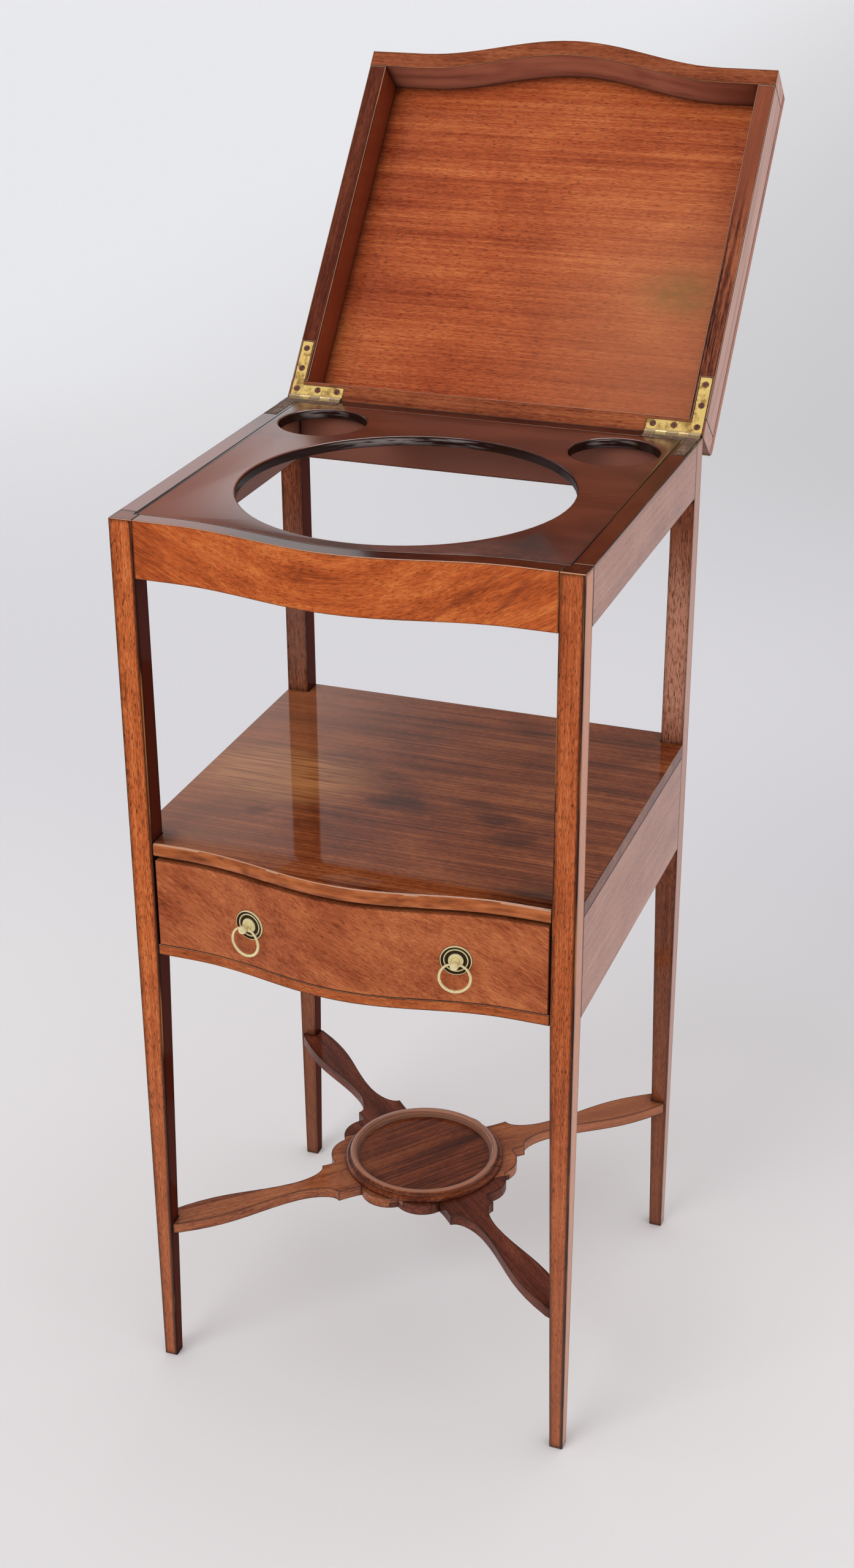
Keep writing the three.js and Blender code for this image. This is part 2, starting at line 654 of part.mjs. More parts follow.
// Turned dish with a moulded rim, glued on the middle of the stretcher
const dishInside = dishRadius - dishRim;
const dishProfile = [
  point(0, 0), point(dishRadius, 0), ...arc(dishRadius - 3, 1.4, 3, 3.2, 0, 90, 5),
  point(dishRadius - 4, 4.6), point(dishRadius - 4, 5.4),
  ...arc(dishRadius - 6.6, 5.9, 2.4, dishHeight - 5.9, 0, 90, 4),
  point(dishInside + 1.4, dishHeight), point(dishInside, dishHeight - 1.2),
  point(dishInside - 0.4, dishFloor + 0.8), point(dishInside - 1.2, dishFloor), point(0, dishFloor),
];
addPiece(stand, 'stretcher_dish', solid(
  new THREE.LatheGeometry(dishProfile, 64).rotateX(Math.PI / 2).translate(0, 0, stretcherTop),
));

// Origin under the middle of the whole open stand
const extent = new THREE.Box3().setFromObject(stand, true);
const group = new THREE.Group();
group.name = 'serpentine_washstand';
stand.position.y = -(extent.min.y + extent.max.y) / 2;
group.add(stand);

export default group;
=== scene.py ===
# %% [markdown]
# # A serpentine washstand in French-polished mahogany
# The stand is a light frame of four tapered legs, with a pierced board on top, a shelf and a
# drawer below it, and a shaped cross stretcher near the floor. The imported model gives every
# piece at its real size. This lesson softens its arrises, turns its brass, drives its screws
# and gives each surface the finish that it has on the real stand.

# %% Load the frame
import json
import math
import random
import bpy
from mathutils import Matrix, Vector

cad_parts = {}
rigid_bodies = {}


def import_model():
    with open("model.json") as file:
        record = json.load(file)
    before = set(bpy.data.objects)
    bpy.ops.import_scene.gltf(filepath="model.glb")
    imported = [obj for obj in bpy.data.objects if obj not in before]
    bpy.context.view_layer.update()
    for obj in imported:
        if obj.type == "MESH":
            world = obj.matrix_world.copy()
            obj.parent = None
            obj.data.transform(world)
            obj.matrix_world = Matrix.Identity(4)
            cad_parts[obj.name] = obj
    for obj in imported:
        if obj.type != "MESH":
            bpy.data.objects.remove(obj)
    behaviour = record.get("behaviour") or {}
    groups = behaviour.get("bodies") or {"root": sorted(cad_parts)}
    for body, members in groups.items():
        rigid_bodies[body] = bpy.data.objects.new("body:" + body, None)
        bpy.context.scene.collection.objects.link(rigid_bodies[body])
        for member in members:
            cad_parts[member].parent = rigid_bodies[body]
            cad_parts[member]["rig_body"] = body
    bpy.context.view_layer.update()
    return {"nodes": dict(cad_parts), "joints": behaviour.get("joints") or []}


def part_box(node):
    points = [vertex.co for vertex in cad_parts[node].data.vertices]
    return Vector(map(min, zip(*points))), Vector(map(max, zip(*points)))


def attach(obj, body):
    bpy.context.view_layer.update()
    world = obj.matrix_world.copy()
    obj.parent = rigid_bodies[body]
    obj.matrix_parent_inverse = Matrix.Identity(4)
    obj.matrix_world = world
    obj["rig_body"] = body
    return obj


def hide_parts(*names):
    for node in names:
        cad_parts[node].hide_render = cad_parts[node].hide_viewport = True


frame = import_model()
nodes = frame["nodes"]
joints = {joint["name"]: joint for joint in frame["joints"]}
MM = 0.001
BOARD_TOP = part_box("leg_front_left")[1].z
FRONT_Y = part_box("leg_front_left")[0].y
REAR_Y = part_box("leg_rear_left")[1].y
MIDDLE_Y = (FRONT_Y + REAR_Y) / 2
HALF_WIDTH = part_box("leg_front_right")[1].x
LID_TILT = 180 - joints["lid_hinge"]["range_deg"][1]
lid_along = Vector((0, math.cos(math.radians(LID_TILT)), math.sin(math.radians(LID_TILT))))
lid_under = Vector((0, -lid_along.z, lid_along.y))
print("board top", round(BOARD_TOP, 4), "front", round(FRONT_Y, 4), "rear", round(REAR_Y, 4))

# %% [markdown]
# ## The camera
# A camera is a place, a direction and a lens. These are where a photographer stands to show the
# stand best: in front, a little to its right, above the open lid and looking down.

# %% Camera
CAMERA_PLACE = Vector((0.6029, MIDDLE_Y - 1.6370, 1.3735))
CAMERA_YAW = math.radians(-20.073)
CAMERA_PITCH = math.radians(-25.745)
CAMERA_ROLL = math.radians(-0.289)
CAMERA_LENS_MM = 51.82


def make_camera():
    forward = Vector((
        math.sin(CAMERA_YAW) * math.cos(CAMERA_PITCH),
        math.cos(CAMERA_YAW) * math.cos(CAMERA_PITCH),
        math.sin(CAMERA_PITCH),
    ))
    level = Vector((math.cos(CAMERA_YAW), -math.sin(CAMERA_YAW), 0))
    upright = level.cross(forward)
    right = level * math.cos(CAMERA_ROLL) + upright * math.sin(CAMERA_ROLL)
    up = upright * math.cos(CAMERA_ROLL) - level * math.sin(CAMERA_ROLL)
    data = bpy.data.cameras.new("camera")
    data.lens = CAMERA_LENS_MM
    camera = bpy.data.objects.new("camera", data)
    bpy.context.scene.collection.objects.link(camera)
    turn = Matrix((right, up, -forward)).transposed()
    camera.matrix_world = Matrix.Translation(CAMERA_PLACE) @ turn.to_4x4()
    bpy.context.scene.camera = camera
    return camera


print("camera at", [round(v, 3) for v in make_camera().location])

# %% [markdown]
# ## Colours and nodes
# Colours are picked as the hex values that a screen shows. Shaders work in linear light, so one
# function turns them. Another adds a node, sets it and fills its inputs in one call: with a
# number, a hex colour, a socket, or a node whose first live output is meant. Where a colour lies
# over another, a Mix node takes its share at 0, the colour below at 6 and the one above at 7.

# %% Colour and node helpers
SMOOTH = {"interpolation_type": "SMOOTHSTEP"}
TIMES = {"operation": "MULTIPLY"}
COLOURS = {"data_type": "RGBA"}


def linear(code):
    values = [int(code[i:i + 2], 16) / 255 for i in (1, 3, 5)]
    return [v / 12.92 if v <= 0.04045 else ((v + 0.055) / 1.055) ** 2.4 for v in values] + [1.0]


def add(tree, kind, settings=None, links=None):
    node = tree.nodes.new("ShaderNode" + kind)
    for key, value in (settings or {}).items():
        setattr(node, key, value)
    for key, value in (links or {}).items():
        if isinstance(value, str):
            value = linear(value)
        if isinstance(value, bpy.types.Node):
            value = next(output for output in value.outputs if output.enabled)
        if isinstance(value, bpy.types.NodeSocket):
            tree.links.new(value, node.inputs[key])
        else:
            node.inputs[key].default_value = value
    return node


def new_material(name):
    material = bpy.data.materials.new(name)
    material.use_nodes = True
    material.node_tree.nodes.clear()
    return material, material.node_tree


def set_ramp(node, stops):
    ramp = node.color_ramp
    while len(ramp.elements) > 1:
        ramp.elements.remove(ramp.elements[-1])
    ramp.elements[0].position, ramp.elements[0].color = stops[0][0], linear(stops[0][1])
    for position, code in stops[1:]:
        ramp.elements.new(position).color = linear(code)


def fade(tree, place, axis, start, end, low=0.0, high=1.0):
    """Goes smoothly from low at start to high at end, along one axis of a place."""
    split = add(tree, "SeparateXYZ", None, {"Vector": place})
    return add(tree, "MapRange", SMOOTH, {
        "Value": split.outputs[axis], "From Min": start, "From Max": end,
        "To Min": low, "To Max": high,
    })


def lay_over(tree, under, over, *shares):
    """Lays one colour over another, as far as the product of the shares."""
    share = shares[0]
    for other in shares[1:]:
        share = add(tree, "Math", TIMES, {0: share, 1: other})
    return add(tree, "Mix", COLOURS, {0: share, 6: under, 7: over})


print("a middle grey is", round(linear("#808080")[0], 3), "in linear light")

# %% [markdown]
# ## The room
# The stand is lit in a pale studio: even light from all round, a little stronger on the right,
# and a large soft window in front. What the polish mirrors matters as much. The paper behind the
# stand is pale, and brightest to its left, so surfaces seen at a slant turn pale. The room behind
# the camera is dim, so the fronts and the open lid keep their full colour. A softbox hangs above
# and behind: only rounded arrises, turned mouldings and brass catch it, as thin bright lines. The
# window isn't mirrored at all. Each fade gives where it starts and ends: in metres on the floor,
# and as a part of a unit direction in the room.

# %% The paper floor
FLOOR_SIZE = 60.0
# Painted shade: the paper is darker in a band a metre behind the stand and towards the far right.
PAPER_NEAR, PAPER_MIDDLE, PAPER_HORIZON = "#dfddde", "#d1d0d4", "#e5e6e8"
PAPER_FAR_LEFT, PAPER_FAR_RIGHT, DARK_FLOOR = "#dfe0e3", "#bfbec1", "#6a6561"
NEAR_TO_MIDDLE, MIDDLE_TO_FAR, FAR_LEFT_TO_RIGHT = (-0.1, 1.0), (1.1, 2.8), (-2.4, 0.3)
DARK_TO_PALE, TO_HORIZON = (-1.1, -0.3), (9.0, 24.0)


def make_floor():
    bpy.ops.mesh.primitive_plane_add(size=FLOOR_SIZE, location=(0, 0, 0))
    floor = bpy.context.active_object
    floor.name = "floor"
    material, tree = new_material("studio_paper")
    place = add(tree, "TexCoord").outputs["Object"]
    middle = fade(tree, place, "Y", *NEAR_TO_MIDDLE)
    depth = fade(tree, place, "Y", *MIDDLE_TO_FAR)
    right = fade(tree, place, "X", *FAR_LEFT_TO_RIGHT)
    distance = add(tree, "VectorMath", {"operation": "LENGTH"}, {0: place})
    horizon = add(tree, "MapRange", SMOOTH, {
        "Value": distance.outputs["Value"], "From Min": TO_HORIZON[0], "From Max": TO_HORIZON[1],
    })
    near = add(tree, "Mix", COLOURS, {0: middle, 6: PAPER_NEAR, 7: PAPER_MIDDLE})
    far = add(tree, "Mix", COLOURS, {0: right, 6: PAPER_FAR_LEFT, 7: PAPER_FAR_RIGHT})
    paper = add(tree, "Mix", COLOURS, {0: depth, 6: near, 7: far})
    paper = add(tree, "Mix", COLOURS, {0: horizon, 6: paper, 7: PAPER_HORIZON})
    front = fade(tree, place, "Y", *DARK_TO_PALE)
    mirrored = add(tree, "Mix", COLOURS, {0: front, 6: DARK_FLOOR, 7: paper})
    path = add(tree, "LightPath")
    colour = add(tree, "Mix", COLOURS, {0: path.outputs["Is Glossy Ray"], 6: paper, 7: mirrored})
    surface = add(tree, "BsdfPrincipled", None, {
        "Base Color": colour, "Roughness": 0.9, "Specular IOR Level": 0.1,
    })
    add(tree, "OutputMaterial", None, {"Surface": surface})
    floor.data.materials.append(material)


make_floor()
print("floor", FLOOR_SIZE, "m")

# %% The room
BACKDROP_COLOUR, DARK_ROOM = "#ececee", "#85807b"
ROOM_TO_PAPER, PAPER_UPWARD, PAPER_RIGHTWARD = (-0.40, 0.25), (0.28, 0.62), (-0.39, -0.26)
SOFTBOX_UPWARD, SOFTBOX_REARWARD = (0.80, 0.87), (0.24, 0.32)
DIM_PAPER, PAPER_STRENGTH, SOFTBOX_STRENGTH, WORLD_STRENGTH = 0.25, 1.6, 14.0, 1.25
LEFT_LIGHT, RIGHT_LIGHT = "#c6c6c8", "#f4f3f2"


def make_world():
    world = bpy.data.worlds.new("studio")
    bpy.context.scene.world = world
    world.use_nodes = True
    tree = world.node_tree
    tree.nodes.clear()
    direction = add(tree, "TexCoord").outputs["Generated"]
    behind = fade(tree, direction, "Y", *ROOM_TO_PAPER)
    above = fade(tree, direction, "Z", *PAPER_UPWARD, 1.0, DIM_PAPER)
    beside = fade(tree, direction, "X", *PAPER_RIGHTWARD, 1.0, DIM_PAPER)
    pale = add(tree, "Math", TIMES, {0: behind, 1: above})
    pale = add(tree, "Math", TIMES, {0: pale, 1: beside})
    room = add(tree, "Mix", COLOURS, {0: pale, 6: DARK_ROOM, 7: BACKDROP_COLOUR})
    high = fade(tree, direction, "Z", *SOFTBOX_UPWARD)
    rearward = fade(tree, direction, "Y", *SOFTBOX_REARWARD)
    softbox = add(tree, "Math", TIMES, {0: high, 1: rearward})
    room = add(tree, "Mix", COLOURS, {0: softbox, 6: room, 7: "#ffffff"})
    paper = add(tree, "MapRange", None, {"Value": pale, "To Min": 1.0, "To Max": PAPER_STRENGTH})
    strength = add(tree, "MapRange", None, {
        "Value": softbox, "To Min": paper, "To Max": SOFTBOX_STRENGTH,
    })
    split = add(tree, "SeparateXYZ", None, {"Vector": direction})
    sideways = add(tree, "MapRange", None, {"Value": split.outputs["X"], "From Min": -1.0})
    walls = add(tree, "Mix", COLOURS, {0: sideways, 6: LEFT_LIGHT, 7: RIGHT_LIGHT})
    lit = add(tree, "Background", None, {"Color": walls, "Strength": WORLD_STRENGTH})
    mirror = add(tree, "Background", None, {"Color": room, "Strength": strength})
    seen = add(tree, "Background", None, {"Color": BACKDROP_COLOUR, "Strength": 1.0})
    path = add(tree, "LightPath")
    shine = add(tree, "MixShader", None, {0: path.outputs["Is Glossy Ray"], 1: lit, 2: mirror})
    mixed = add(tree, "MixShader", None, {0: path.outputs["Is Camera Ray"], 1: shine, 2: seen})
    add(tree, "OutputWorld", None, {"Surface": mixed})


bpy.context.scene.view_settings.view_transform = "Standard"
make_world()
print("light from", LEFT_LIGHT, "at the left to", RIGHT_LIGHT, "at the right")

# %% The window
KEY_STRENGTH = 0.95
KEY_SOFTNESS = math.radians(34)
KEY_DIRECTION = Vector((0.34, 0.74, -0.60))


def make_key_light():
    data = bpy.data.lights.new("window", "SUN")
    data.energy = KEY_STRENGTH
    data.angle = KEY_SOFTNESS
    lamp = bpy.data.objects.new("window", data)
    bpy.context.scene.collection.objects.link(lamp)
    lamp.rotation_euler = KEY_DIRECTION.to_track_quat("-Z", "Y").to_euler()
    lamp.visible_glossy = False


make_key_light()
print("lamps", len(bpy.data.lights))

# %% [markdown]
# ## Mahogany under French polish
# Old mahogany shows soft bands of darker and lighter wood, fine streaks and short fibres along
# the grain, and dark pores. Each is its own noise, stretched along the grain to its real size in
# millimetres, and their depths are low, because the wood is calm. Age adds to it: near every
# edge wax and dust have left it nearly black, and on the arris itself hands have rubbed it pale
# here and there. Arrises that face the window carry a painted highlight, and the corners are
# darkened with painted shade and dirt. Shellac over all this gives a clear coat, a thin sharp
# gloss over a surface that still scatters like wood.

# %% Noise, faces and edges
def stretched_noise(tree, place, size, offset, detail, distortion=0.0):
    scaled = add(tree, "Mapping", None, {
        "Vector": place, "Scale": [1 / s for s in size], "Location": offset,
    })
    return add(tree, "TexNoise", None, {
        "Vector": scaled, "Scale": 1.0, "Detail": detail, "Distortion": distortion,
    }).outputs["Fac"]


def streaked(tree, place, size, offset, detail, tones):
    """Three tones, dark to light, in streaks."""
    noise = stretched_noise(tree, place, size, offset, detail)
    ramp = add(tree, "ValToRGB", None, {"Fac": noise})
    set_ramp(ramp, list(zip((0.3, 0.5, 0.7), tones)))
    return ramp


def facing(tree, direction, near=0.50, full=0.75):
    """1 where a face looks along the direction, 0 where it looks elsewhere, whatever the pose."""
    normal = add(tree, "TexCoord").outputs["Normal"]
    along = add(tree, "VectorMath", {"operation": "DOT_PRODUCT"}, {0: normal, 1: direction})
    return add(tree, "MapRange", SMOOTH, {
        "Value": along.outputs["Value"], "From Min": near, "From Max": full,
    })


def edge_bend(tree, reach, samples):
    """1 on an open face, and less the nearer an edge is."""
    bevelled = add(tree, "Bevel", {"samples": samples}, {"Radius": reach})
    normal = add(tree, "NewGeometry").outputs["Normal"]
    along = add(tree, "VectorMath", {"operation": "DOT_PRODUCT"}, {0: bevelled, 1: normal})
    return along.outputs["Value"]


def bent_grain(tree, place, sweep):
    """Moves the wood across its grain by a slope and a curve, so that the grain sweeps."""
    slope, curve = sweep
    split = add(tree, "SeparateXYZ", None, {"Vector": place})
    along = split.outputs["X"]
    squared = add(tree, "Math", TIMES, {0: along, 1: along})
    lean = add(tree, "Math", {"operation": "MULTIPLY_ADD"}, {
        0: along, 1: -slope, 2: split.outputs["Z"],
    })
    across = add(tree, "Math", {"operation": "MULTIPLY_ADD"}, {0: squared, 1: -curve, 2: lean})
    return add(tree, "CombineXYZ", None, {"X": along, "Y": split.outputs["Y"], "Z": across})

# %% Figure and age
PORE_SIZE = (5.5, 0.65, 0.65)      # real pores are 0.2 mm wide, drawn coarser so that they show
FIBRE_SIZE = (7.0, 0.9, 0.9)
PATINA_REACH, SHADE_AND_DIRT_REACH = 2.6 * MM, 9.0 * MM
PATINA_COLOUR, SHADE_AND_DIRT_COLOUR, WORN_COLOUR = "#200f0a", "#160b08", "#b8763f"
# A painted highlight, laid on the arrises that face the window.
PAINTED_GLINT_COLOUR = "#bd8c70"
TO_THE_WINDOW = Vector((0, -1, 1)).normalized()
TONE_STOPS = (0.24, 0.5, 0.76)


def figured(tree, place, tones, band=(320, 18), band_depth=0.28,
            streak=(160, 2.8), streak_depth=0.30, mottle=28.0, mottle_depth=0.18,
            fibre_depth=0.34, wander=0.1):
    """Bands, streaks, mottle and fibres, each with its size and depth, in dark to light tones."""
    layers = (
        ((band[0], band[1], band[1]), (0, 0, 0), 3.0, wander, band_depth),
        ((streak[0], streak[1], streak[1]), (7, 3, 5), 3.0, 0.1, streak_depth),
        ((mottle * 1.6, mottle, mottle), (2, 6, 9), 2.0, 0.5, mottle_depth),
        (FIBRE_SIZE, (3, 8, 1), 3.0, 0.0, fibre_depth),
    )
    total = 0.5
    for size, offset, detail, distortion, depth in layers:
        noise = stretched_noise(tree, place, size, offset, detail, distortion)
        centred = add(tree, "Math", {"operation": "MULTIPLY_ADD"}, {
            0: noise, 1: 2 * depth, 2: -depth,
        })
        total = add(tree, "Math", {"operation": "ADD"}, {0: centred, 1: total})
    ramp = add(tree, "ValToRGB", None, {"Fac": total})
    set_ramp(ramp, list(zip(TONE_STOPS, tones)))
    return ramp


def aged(tree, place, colour, patina, reach, grime, sheltered_glint):
    """Dark near the edges and rubbed on the arrises. Arrises that face the window carry a painted
    highlight, and painted shade with dirt darkens the corners.
    """
    near_edge = add(tree, "MapRange", None, {
        "Value": edge_bend(tree, reach, 6), "From Min": 0.998, "From Max": 0.95,
    })
    wear = add(tree, "MapRange", None, {
        "Value": stretched_noise(tree, place, (22, 12, 12), (5, 5, 5), 3.0),
        "From Min": 0.35, "From Max": 0.62, "To Min": 0.7 * patina, "To Max": patina,
    })
    colour = lay_over(tree, colour, PATINA_COLOUR, near_edge, wear)
    sky = add(tree, "AmbientOcclusion", {"samples": 4}, {"Distance": SHADE_AND_DIRT_REACH})
    open_sky = sky.outputs["AO"]
    reached = add(tree, "MapRange", None, {"Value": open_sky, "From Min": 0.8, "From Max": 0.98})
    rubbed = add(tree, "MapRange", SMOOTH, {
        "Value": stretched_noise(tree, place, (70, 40, 40), (2, 7, 3), 3.0),
        "From Min": 0.50, "From Max": 0.70, "To Max": 0.7,
    })
    edge_colour = lay_over(tree, PATINA_COLOUR, WORN_COLOUR, rubbed, reached)
    arris = add(tree, "Attribute", {"attribute_name": "arris"}).outputs["Fac"]
    glint_reach = add(tree, "Math", {"operation": "MAXIMUM"}, {0: reached, 1: sheltered_glint})
    # A painted highlight: an arris that faces the window is painted pale where light reaches it.
    lit = add(tree, "Math", TIMES, {0: facing(tree, TO_THE_WINDOW, 0.78, 0.98), 1: glint_reach})
    edge_colour = add(tree, "Mix", COLOURS, {0: lit, 6: edge_colour, 7: PAINTED_GLINT_COLOUR})
    strip = add(tree, "Math", {"operation": "MAXIMUM"}, {0: lit, 1: patina})
    colour = lay_over(tree, colour, edge_colour, strip, arris)
    # Painted shade with dirt: the corners that ambient occlusion finds are darkened.
    darkening = add(tree, "MapRange", None, {
        "Value": open_sky, "From Min": 0.86, "From Max": 0.42, "To Max": grime,
    })
    return add(tree, "Mix", COLOURS, {0: darkening, 6: colour, 7: SHADE_AND_DIRT_COLOUR})


print("pores are", PORE_SIZE[0], "by", PORE_SIZE[1], "mm")

# %% Wood material
PORE_COLOUR = "#2b130b"
PORE_DEPTH = 0.1 * MM


def mahogany(name, tones, turn, start, sweep=None, pores=0.5, patina=0.9, reach=PATINA_REACH,
             grime=0.8, polish=0.62, gloss=0.10, face_polish=None, sheltered_glint=0.0,
             marks=None, **figure):
    """tones run dark, middle, light. turn, in degrees, brings the grain to X. start picks the cut.

    face_polish gives a face's direction, its share of the polish, and the share of all the others.
    sheltered_glint is how much of its painted highlight an arris towards the window keeps
    where the light hardly reaches.
    """
    material, tree = new_material(name)
    where = add(tree, "TexCoord").outputs["Object"]
    place = add(tree, "Mapping", None, {
        "Vector": where, "Scale": (1000, 1000, 1000), "Location": start,
        "Rotation": [math.radians(angle) for angle in turn],
    })
    if sweep:
        place = bent_grain(tree, place, sweep)
    grain = figured(tree, place, tones, **figure)
    pore = add(tree, "MapRange", SMOOTH, {
        "Value": stretched_noise(tree, place, PORE_SIZE, (1, 9, 4), 1.0),
        "From Min": 0.57, "From Max": 0.70, "To Max": pores,
    })
    colour = add(tree, "Mix", COLOURS, {0: pore, 6: grain, 7: PORE_COLOUR})
    if marks:
        colour = marks(tree, where, place, colour)
    colour = aged(tree, place, colour, patina, reach, grime, sheltered_glint)
    coat = polish
    if face_polish:
        direction, share, other_share = face_polish
        coat = add(tree, "MapRange", None, {
            "Value": facing(tree, direction),
            "To Min": other_share * polish, "To Max": share * polish,
        })
    bump = add(tree, "Bump", {"invert": True}, {
        "Height": pore, "Strength": 0.3, "Distance": PORE_DEPTH,
    })
    surface = add(tree, "BsdfPrincipled", None, {
        "Base Color": colour, "Roughness": 0.5, "Normal": bump,
        "Coat Weight": coat, "Coat Roughness": gloss, "Coat IOR": 1.5,
        "Specular IOR Level": 0.0 if polish else 0.25,
    })
    add(tree, "OutputMaterial", None, {"Surface": surface})
    return material

# %% [markdown]
# ## Where the wood changes
# The tops of the rails and legs lie where cloths and wet jugs go, and they are as dark as the
# board they frame. This follows the way a face looks. Other marks sit at their own places, as
# soft ellipses. Each mark is a function that takes the wood's colour and gives it back changed.

# %% Marks on what looks up
SHEEN_LEFTWARD = (-0.05, -0.15)


def ellipse(tree, where, centre, size, softness, turn=(0, 0, 0)):
    """1 inside softness times an ellipse, fading to 0 at its edge."""
    shifted = add(tree, "Mapping", {"vector_type": "TEXTURE"}, {
        "Vector": where, "Location": centre, "Scale": size, "Rotation": turn,
    })
    reach = add(tree, "VectorMath", {"operation": "LENGTH"}, {0: shifted})
    return add(tree, "MapRange", SMOOTH, {
        "Value": reach.outputs["Value"], "From Min": 1.0, "From Max": softness,
    })


def painted_sheen_left(tree, where, colour):
    """A painted reflection: the top is painted paler towards its front left corner, where it
    mirrors the pale paper.
    """
    leftward = fade(tree, where, "X", *SHEEN_LEFTWARD, 0.0, 0.85)
    frontward = fade(tree, where, "Y", REAR_Y - 0.04, MIDDLE_Y, 0.15)
    return lay_over(tree, colour, "#7b4433", leftward, frontward)


def dark_crown(tree, where, place, colour):
    """What looks up is nearly black, with a fine speckle."""
    top = facing(tree, (0, 0, 1))
    dark = streaked(tree, place, (60, 14, 14), (4, 4, 4), 3.0, ("#260f0a", "#391811", "#4b2318"))
    return add(tree, "Mix", COLOURS, {0: top, 6: colour, 7: painted_sheen_left(tree, where, dark)})


def dark_inside(inward):
    """The unpolished inner face of a rail, seen through the basin, under a dark crown."""
    def paint(tree, where, place, colour):
        crowned = dark_crown(tree, where, place, colour)
        return add(tree, "Mix", COLOURS, {0: facing(tree, inward), 6: crowned, 7: "#835142"})
    return paint


print("the top is palest beyond", SHEEN_LEFTWARD[1], "m at the left")

# %% [markdown]
# The legs are painted dark inside, as painted shade, and turn browner towards the floor. Above
# the shelf the rear ones are painted paler, as a painted reflection, and the right ones are
# painted lighter on their outer faces, as painted light. The front right one has a pale chipped
# arris.

# %% Marks on the legs
TAPER_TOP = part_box("drawer_rail")[0].z
LEG_SIZE, FOOT_SIZE = 20 * MM, 12 * MM
EDGE_BAND = 2.0 * MM
TOWARDS_FLOOR, ABOVE_SHELF, UNDER_FRIEZE = (0.50, 0.02), (0.50, 0.58), (0.74, 0.64)
CHIP_PLACE, CHIP_SIZE = (HALF_WIDTH, FRONT_Y, 0.770), (1.6 * MM, 1.6 * MM, 34 * MM)


def leg_marks(inward, lightened, lit_outside, edge, chipped):
    """A leg turns browner towards the floor. Its inner face is painted dark, as painted shade, and
    never rubbed.

    lightened and lit_outside are None or a tone and its share: a painted reflection above the
    shelf, and painted light on the outer face. edge gives where the right edge of its front is at
    the floor and above the taper, and a dark band follows it. chipped says that this arris is
    splintered.
    """
    def paint(tree, where, place, colour):
        crowned = dark_crown(tree, where, place, colour)
        low = fade(tree, where, "Z", *TOWARDS_FLOOR, 0.0, 0.5)
        browned = add(tree, "Mix", COLOURS, {0: low, 6: crowned, 7: "#7c4a31"})
        # A painted reflection: above the shelf the leg is painted paler, least under the frieze and
        # in pores.
        if lightened:
            high = fade(tree, where, "Z", *ABOVE_SHELF, 0.0, lightened[1])
            sheltered = fade(tree, where, "Z", *UNDER_FRIEZE, 0.1)
            bare = add(tree, "MapRange", None, {
                "Value": stretched_noise(tree, place, PORE_SIZE, (1, 9, 4), 1.0),
                "From Min": 0.76, "From Max": 0.42,
            })
            browned = lay_over(tree, browned, lightened[0], high, sheltered, bare)
        # Painted shade: the inner face is painted dark.
        shaded_inside = add(tree, "Mix", COLOURS, {0: facing(tree, inward), 6: browned, 7: "#4c1d12"})
        # Painted light: the outer face is painted lighter.
        if lit_outside:
            outer = facing(tree, (-inward[0], 0, 0))
            shaded_inside = lay_over(tree, shaded_inside, lit_outside[0], outer, lit_outside[1])
        if edge:
            split = add(tree, "SeparateXYZ", None, {"Vector": where})
            border = add(tree, "MapRange", None, {
                "Value": split.outputs["Z"], "From Max": TAPER_TOP,
                "To Min": edge[0], "To Max": edge[1],
            })
            inset = add(tree, "Math", {"operation": "SUBTRACT"}, {0: border, 1: split.outputs["X"]})
            band = add(tree, "MapRange", SMOOTH, {
                "Value": inset, "From Min": EDGE_BAND + 1.5 * MM, "From Max": EDGE_BAND - 0.5 * MM,
                "To Max": 0.75,
            })
            shaded_inside = lay_over(tree, shaded_inside, "#4a2216", band, facing(tree, (0, -1, 0)))
        if not chipped:
            return shaded_inside
        chip = ellipse(tree, where, CHIP_PLACE, CHIP_SIZE, 0.6)
        return add(tree, "Mix", COLOURS, {0: chip, 6: shaded_inside, 7: "#b58a52"})
    return paint


print("the legs taper below", round(TAPER_TOP, 4), "m from", LEG_SIZE, "to", FOOT_SIZE)

# %% [markdown]
# The lid has a faint greenish ring from something damp, and it is painted paler towards its
# lower right, as painted light. The outer faces of its rims are as even as the sides of the
# stand. The inner face of the front rim is painted paler, as painted light, and darker at its
# ends, as painted shade, and the inner face of the left rim is painted a lighter red, as painted
# light.

# %% Marks on the lid
STREAKED_BELOW = 0.97
DAMP_PLACE, DAMP_SIZE = (0.136, 0.171, 0.898), (56 * MM, 36 * MM, 36 * MM)


def even_face(tree, place, colour, outward):
    """A face at the side of the stand is paler and more even than the others."""
    even = streaked(tree, place, (120, 7, 7), (1, 2, 3), 4.0, ("#a0664c", "#ba806a", "#c68d74"))
    return add(tree, "Mix", COLOURS, {0: facing(tree, outward), 6: colour, 7: even})


def even_ends(tree, where, place, colour):
    """The ends of a cross rim show at the stand's sides."""
    for outward in ((1, 0, 0), (-1, 0, 0)):
        colour = even_face(tree, place, colour, outward)
    return colour


def pale_inside(tree, where, place, colour):
    """The inner face of the lid's front rim is painted paler, as painted light, and darker towards
    its ends, as painted shade.
    """
    pale = streaked(tree, place, (130, 9, 9), (4, 7, 1), 4.0, ("#8a5344", "#ab6c57", "#b9785f"))
    middle = ellipse(tree, where, (-0.03, 0, 0), (0.23, 10, 10), 0.5)
    lightened = add(tree, "Mix", COLOURS, {0: middle, 6: "#70392c", 7: pale})
    inside = add(tree, "Mix", COLOURS, {0: facing(tree, -lid_along), 6: colour, 7: lightened})
    return even_ends(tree, where, place, inside)


